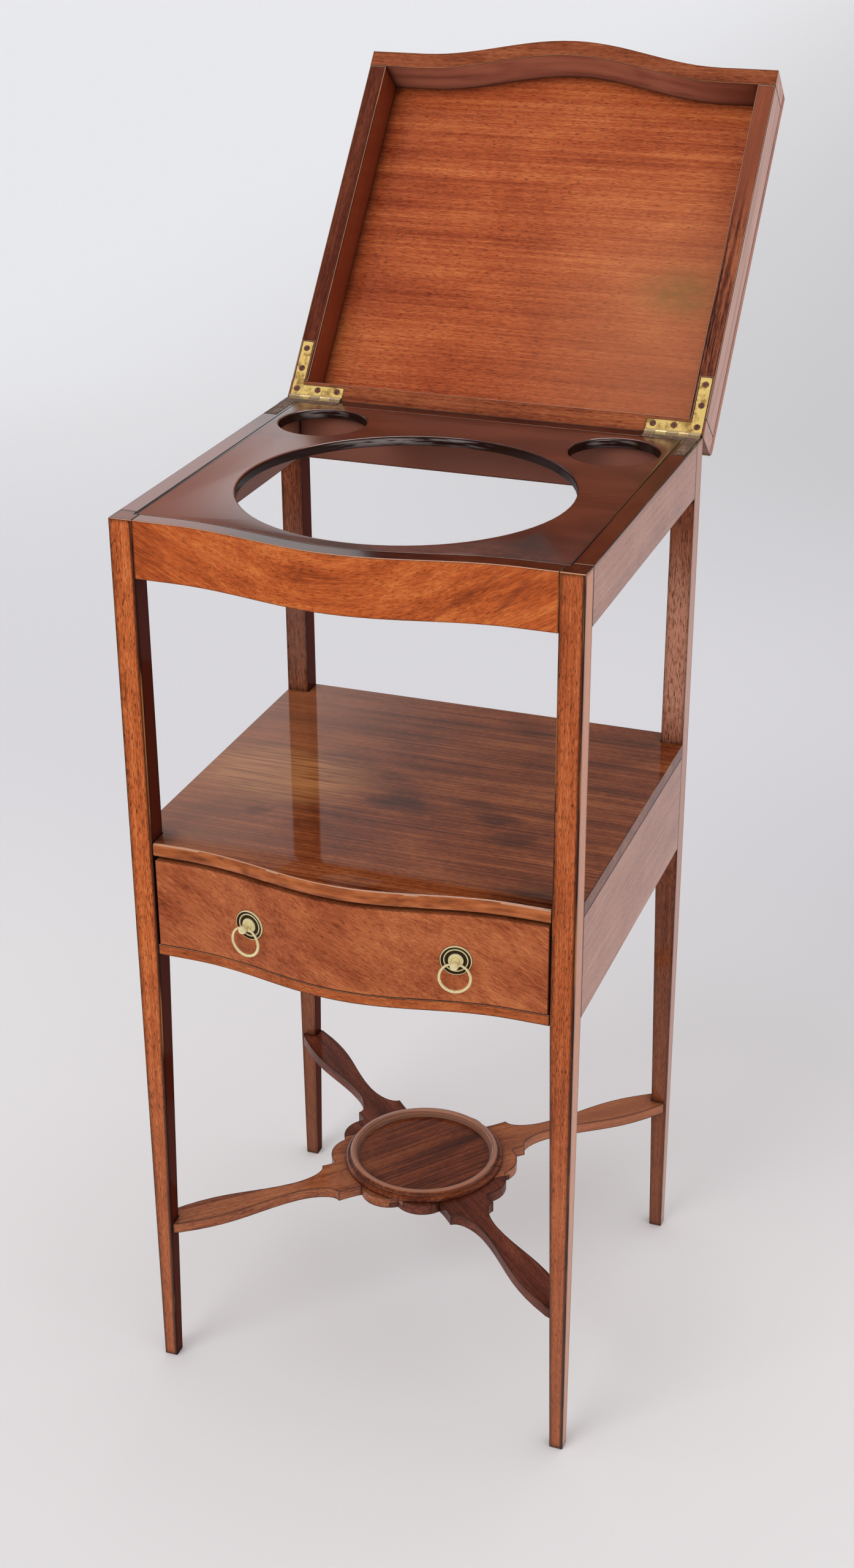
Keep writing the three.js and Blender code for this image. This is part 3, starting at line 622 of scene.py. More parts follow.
def calm_outside(outward, streaked_below=None, lit_red_inside=None):
    """The outer face of a side rim is as even as a side rail. A streaked rim is calmer higher up.

    lit_red_inside is the direction of an inner face painted a lighter red, as painted light.
    """
    def paint(tree, where, place, colour):
        # Painted light: the inner face is painted a lighter red.
        if lit_red_inside:
            colour = lay_over(tree, colour, "#8a3a20", facing(tree, lit_red_inside), 0.6)
        if streaked_below:
            higher = fade(tree, where, "Z", streaked_below - 0.03, streaked_below + 0.03, 0.0, 0.8)
            colour = add(tree, "Mix", COLOURS, {0: higher, 6: colour, 7: "#884730"})
        return even_face(tree, place, colour, outward)
    return paint


def damp_ring(tree, where, place, colour):
    """Something damp has left a greenish ring on the lid, which is painted paler towards its lower
    right, as painted light.
    """
    spot = ellipse(tree, where, DAMP_PLACE, DAMP_SIZE, 0.1)
    blotch = add(tree, "MapRange", None, {
        "Value": stretched_noise(tree, place, (14, 8, 8), (6, 1, 2), 3.0),
        "From Min": 0.3, "From Max": 0.7, "To Min": 0.35, "To Max": 0.85,
    })
    # Painted light: the panel is painted paler towards its lower right.
    rightward = fade(tree, where, "X", -0.06, 0.16, 0.0, 0.5)
    lower = fade(tree, where, "Z", 1.02, 0.88)
    lightened = lay_over(tree, colour, "#b47352", rightward, lower)
    return lay_over(tree, lightened, "#86613a", spot, facing(tree, lid_under), blotch)


print("the damp ring is", round(2 * DAMP_SIZE[0], 3), "m across")

# %% [markdown]
# The front is crossed by two soft dark stripes. The shelf is dark, with a golden patch, knots
# and an orange strip along its front. The board has a hairline crack beside the basin.

# %% Stripes on the front
# Each stripe: where it starts, where it ends and half its width.
STRIPES = (
    (Vector((0.118, FRONT_Y, 0.765)), Vector((0.154, FRONT_Y, 0.805)), 0.0045),
    (Vector((0.071, FRONT_Y, 0.759)), Vector((0.132, FRONT_Y, 0.805)), 0.0035),
)


def crossed_figure(tree, where, place, colour):
    """Two soft dark stripes lean across the right half of the front."""
    crowned = dark_crown(tree, where, place, colour)
    for start, end, width in STRIPES:
        middle, run = (start + end) / 2, end - start
        lean = math.atan2(run.z, run.x)
        stripe = ellipse(tree, where, middle, (run.length * 0.62, 0.2, width), 0.15, (0, -lean, 0))
        crowned = lay_over(tree, crowned, "#6a2f1a", stripe, 0.45)
    return crowned


print("stripes on the front", len(STRIPES))

# %% Knots on the shelf
KNOT_SWIRL = 26.0 * MM
# Each patch on the shelf: x, y, half its length and width, its share and its tone.
SHELF_GOLD = (-0.125, -0.145, 0.110, 0.075, 0.62, "#bd8350")
SHELF_KNOTS = (
    (-0.004, -0.166, 0.042, 0.026, 0.95, "#36130a"),
    (0.062, -0.150, 0.030, 0.016, 0.60, "#36130a"),
    (0.086, -0.168, 0.030, 0.016, 0.75, "#36130a"),
    (0.104, -0.198, 0.030, 0.016, 0.70, "#36130a"),
    (-0.060, -0.225, 0.040, 0.012, 0.50, "#3d170b"),
    (-0.030, -0.120, 0.018, 0.010, 0.55, "#3d170b"),
    (0.162, -0.292, 0.060, 0.040, 0.90, "#2c120b"),
    (-0.172, -0.290, 0.030, 0.022, 0.80, "#3d170b"),
    (-0.110, -0.215, 0.016, 0.012, 0.60, "#3d170b"),
)


def shelf_marks(tree, where, place, colour):
    """The shelf's front edge is orange. Its top has a golden patch and knots, and its left end is
    painted paler, as a painted reflection.
    """
    front = facing(tree, (0, -1, 0))
    strip = streaked(tree, place, (30, 5, 5), (8, 2, 4), 3.0, ("#713a22", "#9c552f", "#b66b40"))
    # A painted reflection: the left end is painted paler.
    left = fade(tree, where, "X", -0.02, -0.17, 0.0, 0.35)
    board = add(tree, "Mix", COLOURS, {0: left, 6: colour, 7: "#9c6647"})
    swirl = add(tree, "TexNoise", None, {"Vector": where, "Scale": 1 / KNOT_SWIRL, "Detail": 3.0})
    shift = add(tree, "VectorMath", {"operation": "MULTIPLY_ADD"}, {
        0: swirl.outputs["Color"], 1: [KNOT_SWIRL] * 3, 2: [-KNOT_SWIRL / 2] * 3,
    })
    bent = add(tree, "VectorMath", {"operation": "ADD"}, {0: where, 1: shift})
    grain = add(tree, "MapRange", SMOOTH, {
        "Value": stretched_noise(tree, place, (60, 3.0, 3.0), (3, 3, 3), 3.0),
        "From Min": 0.36, "From Max": 0.62, "To Min": 0.12,
    })
    whole = add(tree, "MapRange", None, {"Value": grain, "To Min": 0.5})
    for texture, patches in ((grain, (SHELF_GOLD,)), (whole, SHELF_KNOTS)):
        for x, y, long, wide, strength, tone in patches:
            patch = ellipse(tree, bent, (x, y, 0), (long, wide, 10), 0.3)
            board = lay_over(tree, board, tone, patch, strength, texture)
    return add(tree, "Mix", COLOURS, {0: front, 6: board, 7: strip})


print("knots on the shelf", len(SHELF_KNOTS))

# %% The crack in the board
CRACK_PLACE, CRACK_SIZE = (-0.150, -0.0640, BOARD_TOP), (40 * MM, 0.9 * MM, 2 * MM)
SHRINKAGE_LEFT, SHRINKAGE_RIGHT = 2.6 * MM, 1.2 * MM


def cracked_board(tree, where, place, colour):
    """A hairline crack runs from the basin to the left. Black lines along the board's sides are
    painted shade, for the gaps where it has shrunk from its rails.

    The sawn walls of the holes are nearly black, and the rear one has grey streaks near its top,
    a painted highlight.
    """
    lightened = painted_sheen_left(tree, where, colour)
    line = ellipse(tree, where, CRACK_PLACE, CRACK_SIZE, 0.3)
    cracked = add(tree, "Mix", COLOURS, {0: line, 6: lightened, 7: "#1c0c08"})
    split = add(tree, "SeparateXYZ", None, {"Vector": where})
    low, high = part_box("basin_board")
    # Painted shade: a black line along each side stands in for a shaded gap.
    for edge, width in ((low.x, SHRINKAGE_LEFT), (high.x, -SHRINKAGE_RIGHT)):
        gap = add(tree, "MapRange", None, {
            "Value": split.outputs["X"], "From Min": edge + width, "From Max": edge + 0.8 * width,
        })
        cracked = add(tree, "Mix", COLOURS, {0: gap, 6: cracked, 7: "#120806"})
    # A painted highlight: grey streaks near the top of the rear wall of each hole.
    streaks = add(tree, "MapRange", SMOOTH, {
        "Value": stretched_noise(tree, place, (30, 30, 2.5), (9, 2, 6), 3.0),
        "From Min": 0.42, "From Max": 0.60, "To Max": 0.75,
    })
    upper = add(tree, "MapRange", None, {
        "Value": split.outputs["Z"], "From Min": BOARD_TOP - 9 * MM, "From Max": BOARD_TOP - 4 * MM,
    })
    rear = facing(tree, (0.35, -0.94, 0), 0.80, 0.97)
    wall = lay_over(tree, "#24120d", "#8f8684", streaks, upper, rear)
    return add(tree, "Mix", COLOURS, {0: facing(tree, (0, 0, 1)), 6: wall, 7: cracked})


print("the crack is", round(2 * CRACK_SIZE[0], 3), "m long")

# %% [markdown]
# The lip of the dish is painted paler, as a painted highlight, and one arm of the stretcher is
# paler at the rear.

# %% Marks on the stretcher
DISH_INSIDE, DISH_LIP = 62.6 * MM, 69.5 * MM


def pale_rear(tree, where, place, colour):
    """The arm that runs to the rear right leg is paler at that end."""
    rear = fade(tree, where, "X", 0.03, 0.11, 0.0, 0.45)
    return add(tree, "Mix", COLOURS, {0: rear, 6: colour, 7: "#b06f50"})


def lip_highlight(tree, where, place, colour):
    """The dish's lip is painted paler, as a painted highlight."""
    hollow = ellipse(tree, where, (0, MIDDLE_Y, 0), (DISH_INSIDE, DISH_INSIDE, 1.0), 0.97)
    whole = ellipse(tree, where, (0, MIDDLE_Y, 0), (DISH_LIP, DISH_LIP, 1.0), 0.98)
    lip = add(tree, "Math", {"operation": "SUBTRACT", "use_clamp": True}, {0: whole, 1: hollow})
    return lay_over(tree, colour, "#b07e68", lip, 0.75)


print("the lip of the dish is", round(DISH_LIP - DISH_INSIDE, 4), "m wide")

# %% [markdown]
# ## One log, many cuts
# Every board has its own tone and grain direction: upright in the legs, across the front in the
# rails, along each arm in the stretcher. Three tones, dark to light, name each cut, and a start
# point moves along the log so that no two pieces match.

# %% Tones and turns
FRONT_TONES = ("#8c3d18", "#b65728", "#cd7439")
DRAWER_TONES = ("#803c22", "#a55835", "#bc6f43")
RAIL_TONES = ("#7e3c20", "#a6562d", "#bd6e3f")
LEG_TONES = ("#88421f", "#b85d2f", "#cf7844")
NEAR_LEG_TONES = ("#7d3b1e", "#aa552c", "#c26e42")
# The rear legs' tones are darker than the front ones', as painted shade under the lid and frieze.
REAR_LEG_TONES = ("#56281a", "#7d4127", "#965636")
SIDE_TONES = ("#86503e", "#a56d57", "#b78168")
LID_TONES = ("#81341d", "#a9522e", "#c57040")
FRONT_RIM_TONES = ("#612b19", "#864529", "#a05b3a")
REAR_RIM_TONES = ("#6a2f1a", "#8f4a2c", "#a86039")
RIM_TONES = ("#37150d", "#552518", "#703925")
DARK_RIM_TONES = ("#26100a", "#6d3523", "#9a5638")
BOARD_TONES = ("#2b110b", "#401c13", "#56291d")
SHELF_TONES = ("#4c200f", "#75381c", "#95532e")
OVER_ARM_TONES = ("#5f2d1c", "#945334", "#b06e47")
UNDER_ARM_TONES = ("#3c1b13", "#5f2d1f", "#7b4230")
DISH_TONES = ("#3f1b12", "#662f1b", "#844628")
UPRIGHT = (0, 90, 0)
ACROSS = (0, 0, 0)
ENDWAYS = (0, 0, -90)
ARM_TURN = math.degrees(math.atan2(REAR_Y - MIDDLE_Y - 0.0173, HALF_WIDTH - 0.0173))
print("lid tilt", LID_TILT, "arm turn", round(ARM_TURN, 1))

# %% [markdown]
# The legs are cut upright, and the rails across or from front to rear. The leg nearest the camera
# has kept the best polish.

# %% Legs and rails
finishes = {}


def finish(piece, tones, turn, start, wood="mahogany", **looks):
    finishes[piece] = mahogany(wood + "_" + piece, tones, turn, start, **looks)


leg_tones = {"front_left": LEG_TONES, "front_right": NEAR_LEG_TONES}
# The rear legs' paler tops are a painted reflection; the right legs' lighter outsides are painted
# light.
reflected_tops = {"rear_left": ("#75594f", 0.6), "rear_right": ("#c48c74", 0.95)}
lit_outsides = {"front_right": ("#dc9c78", 0.55), "rear_right": ("#b98c7c", 0.85)}
edges = {
    "front_left": (FOOT_SIZE - HALF_WIDTH, LEG_SIZE - HALF_WIDTH),
    "front_right": (HALF_WIDTH, HALF_WIDTH),
}
for index, leg in enumerate(("front_left", "front_right", "rear_left", "rear_right")):
    inward = (1, 0, 0) if "left" in leg else (-1, 0, 0)
    near = leg == "front_right"
    finish(
        "leg_" + leg, leg_tones.get(leg, REAR_LEG_TONES), UPRIGHT,
        (210 * index, 35 * index, 17 * index), band=(260, 7), streak=(70, 1.6), mottle=20.0,
        fibre_depth=0.45, wander=0.0, pores=0.75, patina=0.5 if "rear" in leg else 0.9,
        reach=6.0 * MM, polish=0.75 if near else 0.62, face_polish=(inward, 0.15, 1.0),
        marks=leg_marks(inward, reflected_tops.get(leg), lit_outsides.get(leg), edges.get(leg), near),
    )
finish(
    "frieze_front", FRONT_TONES, ACROSS, (-15, 0, 0), sweep=(0.13, 0.0018), band=(120, 13),
    band_depth=0.38, streak=(34, 2.2), streak_depth=0.25, mottle=26.0, mottle_depth=0.28,
    wander=0.3, patina=0.5, grime=0.4, polish=0.9, marks=crossed_figure,
)
finish("frieze_back", SIDE_TONES, ACROSS, (400, 0, 0), marks=dark_inside((0, -1, 0)))
for side, inward in (("left", (1, 0, 0)), ("right", (-1, 0, 0))):
    finish(
        "frieze_" + side, SIDE_TONES, ENDWAYS, (0, 90, 0), fibre_depth=0.2, pores=0.3, polish=0.9,
        face_polish=(inward, 0.5, 1.0), marks=dark_inside(inward),
    )
    finish(
        "side_panel_" + side, SIDE_TONES, ENDWAYS, (300, 20, 0), band=(260, 34), fibre_depth=0.2,
        pores=0.3, polish=0.85,
    )
finish("back_panel", SIDE_TONES, ACROSS, (700, 0, 0), polish=0.15, gloss=0.3)
print("finishes of the frame", len(finishes))

# %% [markdown]
# The board round the basin is nearly black under its wax. The shelf shows the most figure, and
# the grain of the drawer's front leans.

# %% Boards and drawer
finish(
    "basin_board", BOARD_TONES, ACROSS, (130, 0, 0), band=(240, 30), mottle=50.0, mottle_depth=0.5,
    pores=0.35, patina=0.6, polish=0.95, gloss=0.22, face_polish=((0, 0, 1), 1.0, 0.25),
    marks=cracked_board,
)
finishes["shelf_board"] = mahogany(
    "mahogany_shelf", SHELF_TONES, ACROSS, (0, 0, 0), band=(200, 14), band_depth=0.32,
    streak=(150, 2.0), streak_depth=0.42, mottle=44.0, mottle_depth=0.28, fibre_depth=0.34,
    wander=0.35, patina=0.55, reach=1.4 * MM, grime=0.2, polish=0.70, gloss=0.05, marks=shelf_marks,
)
finish("drawer_rail", RAIL_TONES, ACROSS, (220, 0, 0), band=(120, 9))
finish(
    "drawer_front", DRAWER_TONES, (0, -28, 0), (90, 0, 40), band=(44, 9), band_depth=0.2,
    streak=(12, 2.0), streak_depth=0.25, mottle=30.0, mottle_depth=0.4, wander=0.3, patina=0.35,
    reach=1.4 * MM, grime=0.2, sheltered_glint=0.9,
)
print("finishes with the boards", len(finishes))

# %% [markdown]
# The open lid leans back, and its cuts are turned with it. The boards of the stretcher lie along
# the diagonals of the stand.

# %% Lid and stretcher
finish(
    "lid_panel", LID_TONES, (-LID_TILT, 0, 0), (15, 0, 0), band=(420, 16), band_depth=0.28,
    streak=(260, 2.2), streak_depth=0.30, mottle=60.0, mottle_depth=0.22, fibre_depth=0.30,
    pores=0.65, marks=damp_ring,
)
for name, tones, marks in (
    ("lid_rim_front", FRONT_RIM_TONES, pale_inside),
    ("lid_rim_rear", REAR_RIM_TONES, even_ends),
):
    finish(
        name, tones, (-LID_TILT, 0, 0), (55, 0, 0), band=(200, 8), patina=0.6,
        face_polish=((1, 0, 0), 1.5, 1.0), marks=marks,
    )
finish(
    "lid_rim_left", RIM_TONES, (-LID_TILT, 0, -90), (55, 0, 0),
    marks=calm_outside((-1, 0, 0), lit_red_inside=(1, 0, 0)),
)
finish(
    "lid_rim_right", DARK_RIM_TONES, (-LID_TILT, 0, -90), (155, 0, 0), band=(140, 6),
    band_depth=0.7, streak=(60, 1.8), streak_depth=0.6, polish=0.95,
    marks=calm_outside((1, 0, 0), STREAKED_BELOW),
)
finish(
    "stretcher_over", OVER_ARM_TONES, (0, 0, -ARM_TURN), (10, 0, 0), band=(120, 12), polish=0.65,
    marks=pale_rear,
)
finish("stretcher_under", UNDER_ARM_TONES, (0, 0, ARM_TURN), (90, 0, 0), band=(120, 12), polish=0.5)
finishes["stretcher_dish"] = mahogany(
    "mahogany_dish", DISH_TONES, (0, 0, -52), (0, 50, 0), band=(150, 11), band_depth=0.45,
    streak_depth=0.45, patina=0.4, grime=0.4, polish=0.7, marks=lip_highlight,
)
print("finishes with the lid and stretcher", len(finishes))

# %% [markdown]
# The drawer's inner boards and runners are plain oak, never polished: paler, rougher and
# without a coat, with the grey-brown of two hundred years of dust.

# %% Oak finishes
OAK_TONES = ("#7a5236", "#a87d57", "#c39b74")
for turn, names in (
    (ENDWAYS, ("side_left", "side_right", "runner_left", "runner_right")),
    (ACROSS, ("back", "bottom", "stop_left", "stop_right")),
):
    for name in names:
        finish("drawer_" + name, OAK_TONES, turn, (20, 0, 0), "oak", polish=0.0, patina=0.35)
print("wood finishes", len(finishes))

# %% [markdown]
# ## Softened arrises
# The frame's solids have knife-sharp edges, and no real edge is. Each wooden piece is a merged
# copy of its solid with a bevel of just under a millimetre, so that every arris catches light.
# The arms of the stretcher are rounder, and so are the rims of the holes in the board. The
# strips that the bevel makes are marked, and the wood's finish darkens them.

# %% Copies, bevels and stand-ins
SHARP = math.radians(30)


def deselect():
    if bpy.context.mode != "OBJECT":
        bpy.ops.object.mode_set(mode="OBJECT")
    bpy.ops.object.select_all(action="DESELECT")


def activate(obj):
    deselect()
    obj.select_set(True)
    bpy.context.view_layer.objects.active = obj


def apply_modifiers(obj):
    activate(obj)
    for modifier in list(obj.modifiers):
        bpy.ops.object.modifier_apply(modifier=modifier.name)


def mark_arrises(mesh):
    strips = [float(polygon.material_index == 1) for polygon in mesh.polygons]
    mesh.attributes.new("arris", "FLOAT", "FACE").data.foreach_set("value", strips)
    mesh.polygons.foreach_set("material_index", [0] * len(strips))
    mesh.materials.clear()


def merged_copy(node, name):
    obj = bpy.data.objects.new(name, nodes[node].data.copy())
    bpy.context.scene.collection.objects.link(obj)
    activate(obj)
    bpy.ops.object.mode_set(mode="EDIT")
    bpy.ops.mesh.select_all(action="SELECT")
    bpy.ops.mesh.remove_doubles(threshold=1e-6)
    bpy.ops.mesh.dissolve_limited(angle_limit=math.radians(0.15))
    bpy.ops.mesh.customdata_custom_splitnormals_clear()
    bpy.ops.object.mode_set(mode="OBJECT")
    bpy.ops.object.shade_smooth()
    return obj


def bevel_edges(obj, width, segments=2, limit="ANGLE", material=1):
    bevel = obj.modifiers.new("arris", "BEVEL")
    bevel.width = width
    bevel.segments = segments
    bevel.limit_method = limit
    bevel.angle_limit = SHARP
    bevel.harden_normals = True
    bevel.material = material
    apply_modifiers(obj)


def stand_in(obj, node, material):
    """Takes the node's place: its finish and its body."""
    obj.data.materials.clear()
    obj.data.materials.append(material)
    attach(obj, nodes[node]["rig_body"])
    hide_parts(node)


# %% The rubbed rims of the holes
RIM_ARRIS = 2.0 * MM
BASIN_RADIUS, BASIN_LAND = 135.5 * MM, 14.0 * MM
CUP_RADIUS, CUP_LAND, CUP_X = 38.0 * MM, 12.2 * MM, 130.5 * MM


def round_hole_rims(board):
    """The basin and cups have rubbed the upper rims of their holes rounder than any other arris."""
    low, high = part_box("basin_board")
    holes = [(0, low.y + BASIN_LAND + BASIN_RADIUS, BASIN_RADIUS)]
    holes += [(sign * CUP_X, high.y - CUP_LAND - CUP_RADIUS, CUP_RADIUS) for sign in (-1, 1)]
    mesh = board.data
    weights = []
    for edge in mesh.edges:
        ends = [mesh.vertices[index].co for index in edge.vertices]
        on_rim = any(
            all(
                end.z > high.z - 0.1 * MM and math.hypot(end.x - x, end.y - y) < radius + 1 * MM
                for end in ends
            )
            for x, y, radius in holes
        )
        weights.append(float(on_rim))
    mesh.attributes.new("bevel_weight_edge", "FLOAT", "EDGE").data.foreach_set("value", weights)
    bevel_edges(board, RIM_ARRIS, 4, "WEIGHT", -1)
    mesh.attributes.remove(mesh.attributes["bevel_weight_edge"])
    return int(sum(weights))


print("holes", 1000 * BASIN_RADIUS, "and", 1000 * CUP_RADIUS, "mm in radius")

# %% Every wooden piece
ARRIS, ARM_ARRIS = 0.8 * MM, 3.0 * MM


def softened(node, name, material, arris, segments=2):
    obj = merged_copy(node, name)
    if node == "basin_board":
        print("rim edges", round_hole_rims(obj))
    obj.data.materials.clear()
    obj.data.materials.append(material)
    obj.data.materials.append(material)
    bevel_edges(obj, arris, segments)
    mark_arrises(obj.data)
    stand_in(obj, node, material)
    return obj


for node, material in finishes.items():
    rounded = node.startswith("stretcher_") and node != "stretcher_dish"
    softened(node, node + "_wood", material, ARM_ARRIS if rounded else ARRIS, 4 if rounded else 2)
print("softened", len(finishes), "wooden pieces")

# %% [markdown]
# ## Brass and iron
# The hinges are cast and filed brass, rubbed bright on the lid and gone olive on the base. The
# pulls are turned brass that is polished on its high places and brown in its grooves. Pins and
# screws are iron, dark with age. Each is one colour dulled in patches by another. Tarnish and
# old lacquer scatter light as paint does, so each metal is set only partly metallic, and rougher
# where it is dull.

# %% Metal materials
GROOVE_REACH, BARREL_REACH = 0.6 * MM, 4.0 * MM
RUBBED_BRASS = "#c0a880"
hinge_axis = Vector(joints["lid_hinge"]["pos_m"])


def worn_metal(name, bright, dull, dulling, roughness, patch_mm, metallic, barrel=None):
    """Sunk faces are as dull as the worst patch. barrel is a hinge axis, kept bright by rubbing."""
    material, tree = new_material(name)
    where = add(tree, "TexCoord").outputs["Object"]
    patches = add(tree, "TexNoise", None, {
        "Vector": where, "Scale": 1000 / patch_mm, "Detail": 4.0, "Roughness": 0.6,
    })
    amount = add(tree, "MapRange", SMOOTH, {
        "Value": patches.outputs["Fac"], "From Min": 0.75 - dulling, "From Max": 0.95 - dulling,
    })
    groove = add(tree, "MapRange", None, {
        "Value": edge_bend(tree, GROOVE_REACH, 4),
        "From Min": 0.99, "From Max": 0.75, "To Max": 0.35,
    })
    darkening = add(tree, "Math", {"operation": "ADD", "use_clamp": True}, {0: amount, 1: groove})
    sunk = add(tree, "Attribute", {"attribute_name": "sunk"}).outputs["Fac"]
    darkening = add(tree, "Math", {"operation": "MAXIMUM"}, {0: darkening, 1: sunk})
    colour = add(tree, "Mix", COLOURS, {0: darkening, 6: bright, 7: dull})
    if barrel:
        near = ellipse(tree, where, barrel, (1.0, BARREL_REACH, BARREL_REACH), 0.9)
        colour = lay_over(tree, colour, RUBBED_BRASS, near, 0.7)
    rough = add(tree, "MapRange", None, {
        "Value": amount, "To Min": roughness, "To Max": roughness + 0.25,
    })
    surface = add(tree, "BsdfPrincipled", None, {
        "Base Color": colour, "Metallic": metallic, "Roughness": rough,
    })
    add(tree, "OutputMaterial", None, {"Surface": surface})
    return material


bright_brass = worn_metal(
    "cast_brass_rubbed", "#ffdc86", "#aa8042", 0.29, 0.32, 9.0, 0.45, hinge_axis,
)
olive_brass = worn_metal(
    "cast_brass_tarnished", "#6f543e", "#48362a", 0.45, 0.40, 7.0, 0.5, hinge_axis,
)
pull_brass = worn_metal("turned_brass", "#fff2bc", "#3a2916", 0.12, 0.20, 8.0, 0.48)
dark_iron = worn_metal("wrought_iron_dark", "#7a6658", "#3c3029", 0.4, 0.45, 3.0, 0.8)
rusty_iron = worn_metal("screw_iron_rusty", "#7d4c3e", "#56352b", 0.35, 0.5, 2.0, 0.3)
print("materials", len(bpy.data.materials))

# %% [markdown]
# ## Strap hinges and their screws
# Each hinge is two flat L-shaped leaves on a knuckled barrel, let in flush, one leaf into the
# lid and one into the base. Five slotted screws hold each leaf. Their holes are countersunk
# into the leaf. One screw head is modelled: a disc with a filed edge and a sawn slot. It is
# copied twenty times, and each copy is turned to where the joiner's last turn left it.

# %% Hinge leaves with countersunk holes
SCREW_RADIUS = 2.9 * MM
SINK_DEPTH = 0.9 * MM
SLOT_WIDTH = 0.7 * MM
SCREW_PLACES_MM = ((183.5, 8.6), (183.5, 28.5), (183.5, 48.0), (163.5, 8.6), (145.0, 8.6))
METAL_ARRIS = 0.15 * MM
half_gap = hinge_axis.z - BOARD_TOP


def basis(x_axis, z_axis, place):
    turn = Matrix((x_axis, z_axis.cross(x_axis), z_axis)).transposed()
    return Matrix.Translation(place) @ turn.to_4x4()


def screw_places(sign, on_lid):
    """Where each head sits on its leaf's face, with Z out of the leaf."""
    along = lid_along if on_lid else Vector((0, -1, 0))
    outward = lid_under if on_lid else Vector((0, 0, 1))
    for x, reach in SCREW_PLACES_MM:
        face = hinge_axis + Vector((sign * x * MM, 0, 0)) + along * reach * MM - outward * half_gap
        yield basis(Vector((1, 0, 0)), outward, face)


def put(obj, place):
    obj.matrix_world = place
    activate(obj)
    bpy.ops.object.transform_apply()


def cut_away(obj, cutter):
    activate(obj)
    boolean = obj.modifiers.new("cut", "BOOLEAN")
    boolean.operation = "DIFFERENCE"
    boolean.solver = "EXACT"
    boolean.object = cutter
    bpy.ops.object.modifier_apply(modifier=boolean.name)
    bpy.data.objects.remove(cutter)


def countersink(obj, place):
    deselect()
    bpy.ops.mesh.primitive_cone_add(
        vertices=32, radius1=SCREW_RADIUS * 0.8, radius2=SCREW_RADIUS * 1.15, depth=2 * SINK_DEPTH,
    )
    cutter = bpy.context.active_object
    cutter.matrix_world = place
    cut_away(obj, cutter)


for side, sign in (("left", -1), ("right", 1)):
    for leaf, on_lid, brass in (("lid", True, bright_brass), ("base", False, olive_brass)):
        node = "hinge_" + leaf + "_leaf_" + side
        strap = merged_copy(node, node + "_metal")
        for place in screw_places(sign, on_lid):
            countersink(strap, place)
        bevel_edges(strap, METAL_ARRIS)
        stand_in(strap, node, brass)
    softened("hinge_pin_" + side, "hinge_pin_" + side + "_metal", dark_iron, METAL_ARRIS)
print("hinge holes", 4 * len(SCREW_PLACES_MM))

# %% Slotted screws
deselect()
bpy.ops.mesh.primitive_cylinder_add(
    vertices=40, radius=SCREW_RADIUS, depth=SINK_DEPTH, location=(0, 0, -SINK_DEPTH / 2),
)
screw = bpy.context.active_object
screw.name = "screw_pattern"
bpy.ops.object.transform_apply()
bpy.ops.mesh.primitive_cube_add(size=1)
saw = bpy.context.active_object
saw.scale = (SLOT_WIDTH, 3 * SCREW_RADIUS, 0.9 * SINK_DEPTH)
cut_away(screw, saw)
bevel_edges(screw, 0.12 * MM)
screw.data.materials.clear()
screw.data.materials.append(rusty_iron)

random.seed(5)
screws = 0
for side, sign in (("left", -1), ("right", 1)):
    for leaf, on_lid in (("lid", True), ("base", False)):
        for place in screw_places(sign, on_lid):
            screws += 1
            copy = bpy.data.objects.new("screw_" + str(screws), screw.data.copy())
            bpy.context.scene.collection.objects.link(copy)
            put(copy, place @ Matrix.Rotation(random.uniform(0, math.pi), 4, "Z"))
            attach(copy, "lid" if on_lid else "stand")
bpy.data.objects.remove(screw)
print("screws", screws)

# %% [markdown]
# ## Ring pulls
# A brass turner made each pull's plate on the lathe: a rolled rim, a sunk field with two fine
# beads, a cushion, and a post that ends in a ball. Here a circle is drawn in and raised ring by
# ring along the same profile. The post is drilled through at the ball's foot, and a ring of round
# wire hangs in the hole, filed thinner where it passes through.

# %% Pull profile
# Lengths are in millimetres. The profile runs from the rim's foot to the top of the ball.
PLATE_RADIUS = 13.0
RING_STAND = 6.8
BALL_RADIUS, BALL_STAND = 3.6, 9.8
POST_RADIUS = 2.9
RING_RADIUS, WIRE_RADIUS, THIN_WIRE = 12.65, 1.2, 0.9
RING_DROP = 12.39
HOLE_RADIUS = 1.3
SUNK_FIELDS = ((10.25, 12.15), (6.35, 8.95))
TURNED_SIDES = 96


def arc(radius, rise, size, start, end, steps):
    angles = [math.radians(start + (end - start) * i / steps) for i in range(steps + 1)]
    return [(radius + size * math.cos(a), rise + size * math.sin(a)) for a in angles]


pull_profile = [
    (PLATE_RADIUS, 0.0),
    *arc(PLATE_RADIUS - 0.8, 0.5, 0.8, 0, 180, 8),
    (PLATE_RADIUS - 2.2, 0.4),
    *arc(9.6, 0.45, 0.6, 0, 180, 6),
    (8.6, 0.45),
    *arc(7.7, 0.6, 0.6, 0, 180, 6),
    (6.8, 0.6),
    *arc(4.6, 1.0, 1.7, -10, 150, 8),
    (POST_RADIUS, 3.0),
    *arc(0, BALL_STAND, BALL_RADIUS, -36, 86, 12),
]
print("the pull's profile has", len(pull_profile), "points")

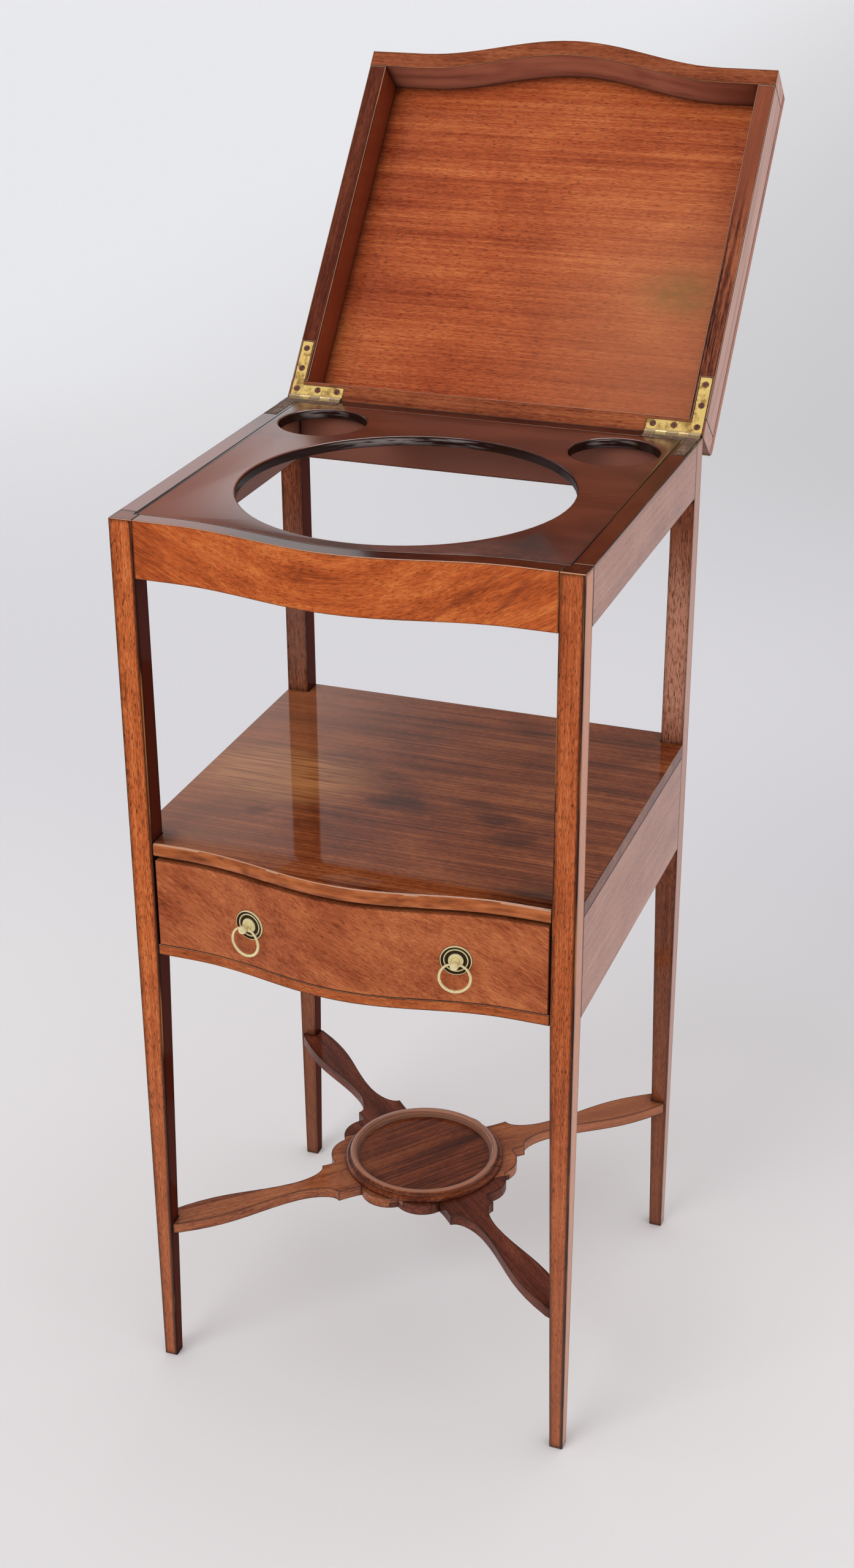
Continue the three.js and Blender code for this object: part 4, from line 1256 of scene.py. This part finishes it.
# %% Turning
def turned(profile, name):
    deselect()
    first_radius, first_rise = profile[0]
    bpy.ops.mesh.primitive_circle_add(
        vertices=TURNED_SIDES, radius=first_radius * MM, fill_type="NGON",
        location=(0, 0, first_rise * MM),
    )
    obj = bpy.context.active_object
    obj.name = name
    bpy.ops.object.transform_apply()
    bpy.ops.object.mode_set(mode="EDIT")
    bpy.ops.mesh.select_all(action="SELECT")
    radius, rise = first_radius, first_rise
    for next_radius, next_rise in profile[1:]:
        lift = (0, 0, (next_rise - rise) * MM)
        bpy.ops.mesh.extrude_region_move(TRANSFORM_OT_translate={"value": lift})
        share = next_radius / radius
        bpy.ops.transform.resize(value=(share, share, 1), center_override=(0, 0, next_rise * MM))
        radius, rise = next_radius, next_rise
    bpy.ops.mesh.select_all(action="SELECT")
    bpy.ops.mesh.normals_make_consistent(inside=False)
    bpy.ops.object.mode_set(mode="OBJECT")
    return obj


# %% Plates, rings and nuts
for side in ("left", "right"):
    swing = joints["ring_swing_" + side]
    axle = Vector(swing["axis"])
    outward = Vector((-axle.y, axle.x, 0)).normalized()
    if outward.y > 0:
        outward = -outward
    across = Vector((0, 0, 1)).cross(outward)
    stand_at = Vector(swing["pos_m"]) - outward * RING_STAND * MM
    on_front = basis(across, outward, stand_at)

    plate = turned(pull_profile, "pull_plate_" + side + "_metal")
    spans = [math.hypot(polygon.center.x, polygon.center.y) / MM for polygon in plate.data.polygons]
    sunk = [float(any(low < span < high for low, high in SUNK_FIELDS)) for span in spans]
    plate.data.attributes.new("sunk", "FLOAT", "FACE").data.foreach_set("value", sunk)
    bpy.ops.mesh.primitive_cylinder_add(
        vertices=32, radius=HOLE_RADIUS * MM, depth=4 * BALL_RADIUS * MM,
        location=(0, 0, RING_STAND * MM), rotation=(0, math.pi / 2, 0),
    )
    cut_away(plate, bpy.context.active_object)
    put(plate, on_front)
    bpy.ops.object.shade_smooth_by_angle(angle=SHARP)
    stand_in(plate, "pull_plate_" + side, pull_brass)

    deselect()
    bpy.ops.mesh.primitive_torus_add(
        major_segments=TURNED_SIDES, minor_segments=20,
        major_radius=RING_RADIUS * MM, minor_radius=WIRE_RADIUS * MM,
    )
    ring = bpy.context.active_object
    ring.name = "pull_ring_" + side + "_metal"
    for vertex in ring.data.vertices:
        level = vertex.co.copy()
        level.z = 0
        middle = level.normalized() * RING_RADIUS * MM
        height = (middle.y / (RING_RADIUS * MM) + 1) / 2
        thinness = 1 - (1 - THIN_WIRE / WIRE_RADIUS) * height ** 2
        vertex.co = middle + (vertex.co - middle) * thinness
    put(ring, basis(across, outward, Vector(swing["pos_m"]) - Vector((0, 0, RING_DROP * MM))))
    bpy.ops.object.shade_smooth()
    stand_in(ring, "pull_ring_" + side, pull_brass)
    softened("pull_nut_" + side, "pull_nut_" + side + "_metal", pull_brass, METAL_ARRIS)
print("pulls at", [round(v, 4) for v in stand_at])
